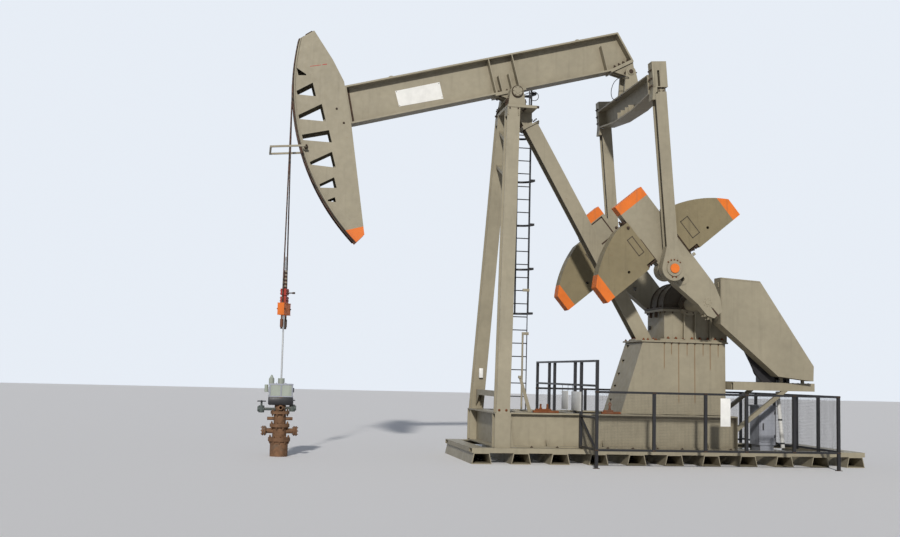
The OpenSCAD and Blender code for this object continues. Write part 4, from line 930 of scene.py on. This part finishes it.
def cabinet_details():
    low, high = box_of("control_cabinet")
    y, side = low.y + 0.03, high.x - 0.03
    doors = Piece("cabinet_doors", "stand", "grey")
    doors.box((low.x + 0.06, y - 0.012, low.z + 0.22), (side - 0.03, y, high.z - 0.08), 0.004)
    doors.box((side, y + 0.04, low.z + 0.22), (side + 0.012, high.y - 0.07, high.z - 0.08), 0.004)
    for z in (high.z - 0.22 - 0.03 * i for i in range(6)):
        doors.box((side + 0.012, -0.14, z), (side + 0.02, 0.14, z + 0.01), 0.002)
    doors.done()
    dark = Piece("cabinet_handles", "stand", "black")
    dark.box((side + 0.012, -0.17, low.z + 0.50), (side + 0.04, -0.14, low.z + 0.66), 0.005)
    dark.box((low.x + 0.10, y - 0.035, low.z + 0.50), (low.x + 0.125, y - 0.012, low.z + 0.66), 0.005)
    for z in (low.z + 0.33, high.z - 0.20):
        dark.bar((side - 0.02, y - 0.018, z), (side - 0.02, y - 0.018, z + 0.07), 0.010, 10)
    dark.done()
    riser = Piece("cable_riser", "stand", "white")
    riser.bar(RISER_FOOT, RISER_TOP, 0.045, 16)
    riser.done()
    clips = Piece("cable_riser_clips", "stand", "black")
    for share in (0.08, 0.5, 0.92):
        p = RISER_FOOT.lerp(RISER_TOP, share)
        clips.bar(p - UP * 0.02, p + UP * 0.02, 0.05, 16)
    cable = [(6.43, -0.38, 0.36), (6.47, -0.30, 0.345), (6.45, -0.10, 0.42), (6.33, 0.0, 0.52)]
    clips.tube(smooth(cable), 0.018, 8)
    clips.done()


# Fence
FENCE_Y, FENCE_FACE, POST_HALF = 2.4, 2.436, 0.03
MESH_PITCH, MESH_WIRE_R = 0.03, 0.0012
MESH_LOW, MESH_TOP, LOW_PANEL_TOP = 0.36, 1.55, 1.02
CLAMP_SHARES = (0, 0.23, 0.44, 0.61, 0.81, 1)


def mesh_panel(piece, p, across, width, low, high):
    """Welded wire between two rails: p is a low corner and across the direction along the fence."""
    p, across = Vector(p), Vector(across)
    count = int(width / MESH_PITCH)
    for i in range(1, count):
        foot = p + across * (i * width / count)
        piece.tube([foot + UP * low, foot + UP * high], MESH_WIRE_R, 4)
    rows = int((high - low) / MESH_PITCH)
    for i in range(1, rows):
        z = UP * (low + i * (high - low) / rows)
        piece.tube([p + z, p + across * width + z], MESH_WIRE_R, 4)


def fence_details():
    low, high = box_of("fence_near")
    front, rear = low.x + POST_HALF, high.x - POST_HALF
    mesh = Piece("fence_mesh_sides", "stand", "black")
    for s in (-1, 1):
        mesh_panel(mesh, (low.x + 0.02, s * FENCE_Y, 0), (1, 0, 0), high.x - low.x - 0.04, MESH_LOW, MESH_TOP)
    mesh.done()
    ends = Piece("fence_mesh_ends", "stand", "black")
    mesh_panel(ends, (rear, -2.37, 0), (0, 1, 0), 4.74, 0.38, MESH_TOP)
    for y in (-2.37, 1.325):
        mesh_panel(ends, (front, y, 0), (0, 1, 0), 1.045, MESH_LOW, LOW_PANEL_TOP)
    ends.done()
    fits = Piece("fence_clamps", "stand", "iron")
    for s in (-1, 1):
        y = s * FENCE_Y
        for x in (front + share * (rear - front) for share in CLAMP_SHARES):
            for z in (0.37, 1.548):
                fits.box((x - 0.036, y - 0.036, z - 0.012), (x + 0.036, y + 0.036, z + 0.012), 0.004)
                fits.bolt((x, s * FENCE_FACE, z), (0, s, 0), 0.010, 0.015)
        for x in (front, rear):
            fits.box((x - 0.06, y - 0.06, 0.0), (x + 0.06, y + 0.06, 0.010), 0.003)
    fits.done()
    sign = Piece("fence_signs", "stand", "white")
    for y in (-FENCE_FACE, FENCE_FACE):
        sign.box((4.02, y - 0.0025, 0.89), (4.24, y + 0.0025, 1.47), 0.001)
    for y0, y1 in ((-1.42, -0.70), (-0.44, 0.08)):
        sign.box((1.318, y0, 1.12), (1.324, y1, 1.53), 0.002)
    sign.box((-0.39, 1.02, 1.77), (-0.30, 1.12, 1.99), 0.006)
    sign.done()
    straps = Piece("fence_sign_straps", "stand", "black")
    for y in (-0.40, 0.04, -1.38, -0.74):
        straps.box((1.3245, y - 0.01, 1.40), (1.3295, y + 0.01, 1.66), 0.001)
    for y in (-FENCE_Y - 0.02, FENCE_Y + 0.02):
        for z in (0.95, 1.40):
            straps.box((4.05, y - 0.013, z - 0.008), (4.21, y + 0.013, z + 0.008), 0.002)
    straps.done()


# Wellhead and stuffing box, from the well's foot
BOX_X, BOX_Y, BOX_LOW, BOX_TOP = 0.262, 0.182, 1.262, 1.545
OUTLET_Z, SIDE_PIPE_Z, DRAIN_Z = 0.54, 0.80, 1.04


def wellhead_details():
    rust = Piece("wellhead_bolts", "stand", "wellhead", WELL_PLACE)
    for z0, z1, ring, count in ((0.32, 0.40, 0.205, 10), (0.62, 0.69, 0.18, 8), (0.90, 0.96, 0.17, 8)):
        for x, y in around(count, ring, 0.5):
            rust.bar((x, y, z0 - 0.05), (x, y, z1 + 0.05), 0.011, 8)
            rust.bar((x, y, z0 - 0.03), (x, y, z0), 0.020, 6)
            rust.bar((x, y, z1), (x, y, z1 + 0.03), 0.020, 6)
    for s in (-1, 1):
        rust.bar((s * 0.12, 0, OUTLET_Z), (s * 0.33, 0, OUTLET_Z), 0.055, 16)
        for x0, x1 in ((0.29, 0.33), (0.335, 0.375)):
            rust.bar((s * x0, 0, OUTLET_Z), (s * x1, 0, OUTLET_Z), 0.105, 20)
        rust.bar((s * 0.11, 0, SIDE_PIPE_Z), (s * 0.27, 0, SIDE_PIPE_Z), 0.035, 14)
        for y, z in around(6, 0.080):
            rust.bar((s * 0.27, y, OUTLET_Z + z), (s * 0.395, y, OUTLET_Z + z), 0.009, 6)
    rust.bar((0, -0.10, DRAIN_Z), (0, -0.26, DRAIN_Z), 0.035, 14)
    rust.bar((0, -0.21, DRAIN_Z), (0, -0.26, DRAIN_Z), 0.060, 6)
    rust.done()
    valves = Piece("wellhead_valves", "stand", "valve", WELL_PLACE)
    for s, z, x in ((-1, 1.00, 0.40), (1, 1.03, 0.25)):
        x, y = s * x, -0.05
        valves.bar((s * 0.10, y, z), (x, y, z), 0.030, 14)
        valves.bar((x, y, z - 0.075), (x, y, z + 0.075), 0.062, 16)
        valves.bar((x - s * 0.06, y, z), (x + s * 0.085, y, z), 0.055, 14)
        valves.bar((x, y, z + 0.075), (x, y, z + 0.15), 0.022, 10)
    valves.done()


def stuffing_box_details():
    oiler = Piece("stuffing_box_oiler", "stand", "green", WELL_PLACE)
    oiler.bar((-0.205, 0.02, 1.54), (-0.205, 0.02, 1.66), 0.058, 18)
    oiler.bar((-0.205, 0.02, 1.66), (-0.205, 0.02, 1.73), 0.045, 18, 0.014)
    oiler.bar((-0.31, -0.04, 1.36), (-0.31, -0.04, 1.52), 0.040, 14)
    oiler.done()
    wheels = Piece("valve_wheels", "stand", "black", WELL_PLACE)
    for centre, size in ((Vector((-0.40, -0.05, 1.165)), 0.085), (Vector((0.25, -0.05, 1.195)), 0.05)):
        rim = [centre + Vector((x, y, 0)) for x, y in around(20, size)]
        wheels.tube(rim, 0.011, 8, closed=True)
        for end in rim[::5]:
            wheels.tube([centre, end], 0.007, 6)
        wheels.bar(centre - UP * 0.03, centre + UP * 0.02, 0.016, 10)
    wheels.box((-BOX_X, -BOX_Y, 1.09), (BOX_X, BOX_Y, BOX_LOW), 0.02)
    wheels.done()
    box = Piece("stuffing_box_fittings", "stand", "grey", WELL_PLACE)
    box.box((-BOX_X, -BOX_Y, BOX_LOW), (BOX_X, BOX_Y, 1.285), 0.006)
    box.box((-0.258, -0.178, 1.515), (0.258, 0.178, BOX_TOP), 0.006)
    for s in (-1, 1):
        for x in (-0.235, 0.0, 0.235):
            box.bar((x, s * 0.168, 1.285), (x, s * 0.168, 1.52), 0.014, 10)
        box.box((s * BOX_X - 0.02, -0.06, 1.36), (s * BOX_X + 0.02, 0.06, 1.46), 0.008)
    for x, y in around(6, 0.10):
        box.bolt((x, y, BOX_TOP), UP, 0.014, 0.02)
    box.done()


# Rod clamp and carrier bar
CLAMP_BOLTS_Z, GAUGE_Z, CARRIER_EDGES_Z = (3.33, 3.39, 3.485, 3.545), 3.50, (3.02, 3.265)


def rod_details():
    dark = Piece("clamp_bolts", "rod_carrier", "iron", CARRIER)
    for s in (-1, 1):
        for side in (-1, 1):
            for z in CLAMP_BOLTS_Z:
                dark.bolt((side * 0.065, s * 0.055, z), (side, 0, 0), 0.014, 0.02)
            dark.bolt((side * 0.076, s * 0.17, 3.15), (side, 0, 0), 0.020, 0.02)
        dark.bar((0, s * 0.12, 2.72), (0, s * 0.12, 2.758), 0.026, 6)
    dark.bar((0.06, 0, GAUGE_Z), (0.20, 0, GAUGE_Z), 0.013, 10)
    dark.bar((0.18, 0, GAUGE_Z), (0.235, 0, GAUGE_Z), 0.022, 10)
    dark.done()
    rims = Piece("carrier_edges", "rod_carrier", "orange", CARRIER)
    for z in CARRIER_EDGES_Z:
        for side in (-1, 1):
            rims.box((side * 0.075, -0.2, z), (side * 0.081, 0.2, z + 0.015), 0.002)
    rims.done()


# Floor and light
FLOOR_SIZE, FLOOR_SEEN, FLOOR_BOUNCE = 90, (0.93, 0.93, 0.95), (0.62, 0.62, 0.64)
SKY_SEEN, SKY_SEEN_STRENGTH = (0.80, 0.85, 0.92, 1), 1.0
SKY_LIGHT, SKY_STRENGTH = (0.80, 0.87, 1.0, 1), 0.21
SUN_COLOUR, SUN_STRENGTH, SUN_ANGLE = (1.0, 0.965, 0.90), 2.78, math.radians(3)
SUN_DIRECTION = Vector((0.23, 0.89, -0.42))


def add_floor():
    grid = bmesh.new()
    bmesh.ops.create_grid(grid, x_segments=1, y_segments=1, size=FLOOR_SIZE)
    data = bpy.data.meshes.new("floor")
    grid.to_mesh(data)
    grid.free()
    floor = bpy.data.objects.new("floor", data)
    bpy.context.collection.objects.link(floor)
    g = Graph("floor")
    seen_by_camera = g.tree.nodes.new("ShaderNodeLightPath").outputs["Is Camera Ray"]
    data.materials.append(g.finish(g.mix(seen_by_camera, FLOOR_BOUNCE, FLOOR_SEEN), 0.85, 0.0, 0.2))


def add_light():
    """A plain sky that looks brighter to the camera and in reflections than it lights, and a low sun."""
    world = bpy.data.worlds.new("studio")
    bpy.context.scene.world = world
    world.use_nodes = True
    tree = world.node_tree
    light = tree.nodes["Background"]
    light.inputs["Color"].default_value = SKY_LIGHT
    light.inputs["Strength"].default_value = SKY_STRENGTH
    seen = tree.nodes.new("ShaderNodeBackground")
    seen.inputs["Color"].default_value = SKY_SEEN
    seen.inputs["Strength"].default_value = SKY_SEEN_STRENGTH
    link = tree.links.new
    path = tree.nodes.new("ShaderNodeLightPath")
    either = tree.nodes.new("ShaderNodeMath")
    either.operation = "MAXIMUM"
    link(path.outputs["Is Camera Ray"], either.inputs[0])
    link(path.outputs["Is Glossy Ray"], either.inputs[1])
    mix = tree.nodes.new("ShaderNodeMixShader")
    link(either.outputs[0], mix.inputs["Fac"])
    link(light.outputs[0], mix.inputs[1])
    link(seen.outputs[0], mix.inputs[2])
    link(mix.outputs[0], tree.nodes["World Output"].inputs["Surface"])
    lamp = bpy.data.lights.new("sun", "SUN")
    lamp.energy = SUN_STRENGTH
    lamp.angle = SUN_ANGLE
    lamp.color = SUN_COLOUR
    sun = bpy.data.objects.new("sun", lamp)
    sun.rotation_euler = SUN_DIRECTION.to_track_quat("-Z", "Y").to_euler()
    bpy.context.collection.objects.link(sun)


add_camera()
dress_frame()
beam_details()
head_details()
wires_on_head()
crank_details()
pitman_details()
post_details()
leg_details()
saddle_hoses()
ladder_details()
clamp_details()
base_details()
gearbox_details()
drive_details()
cabinet_details()
motor_details()
fence_details()
wellhead_details()
stuffing_box_details()
rod_details()
add_floor()
add_light()
bpy.context.scene.view_settings.view_transform = "Standard"
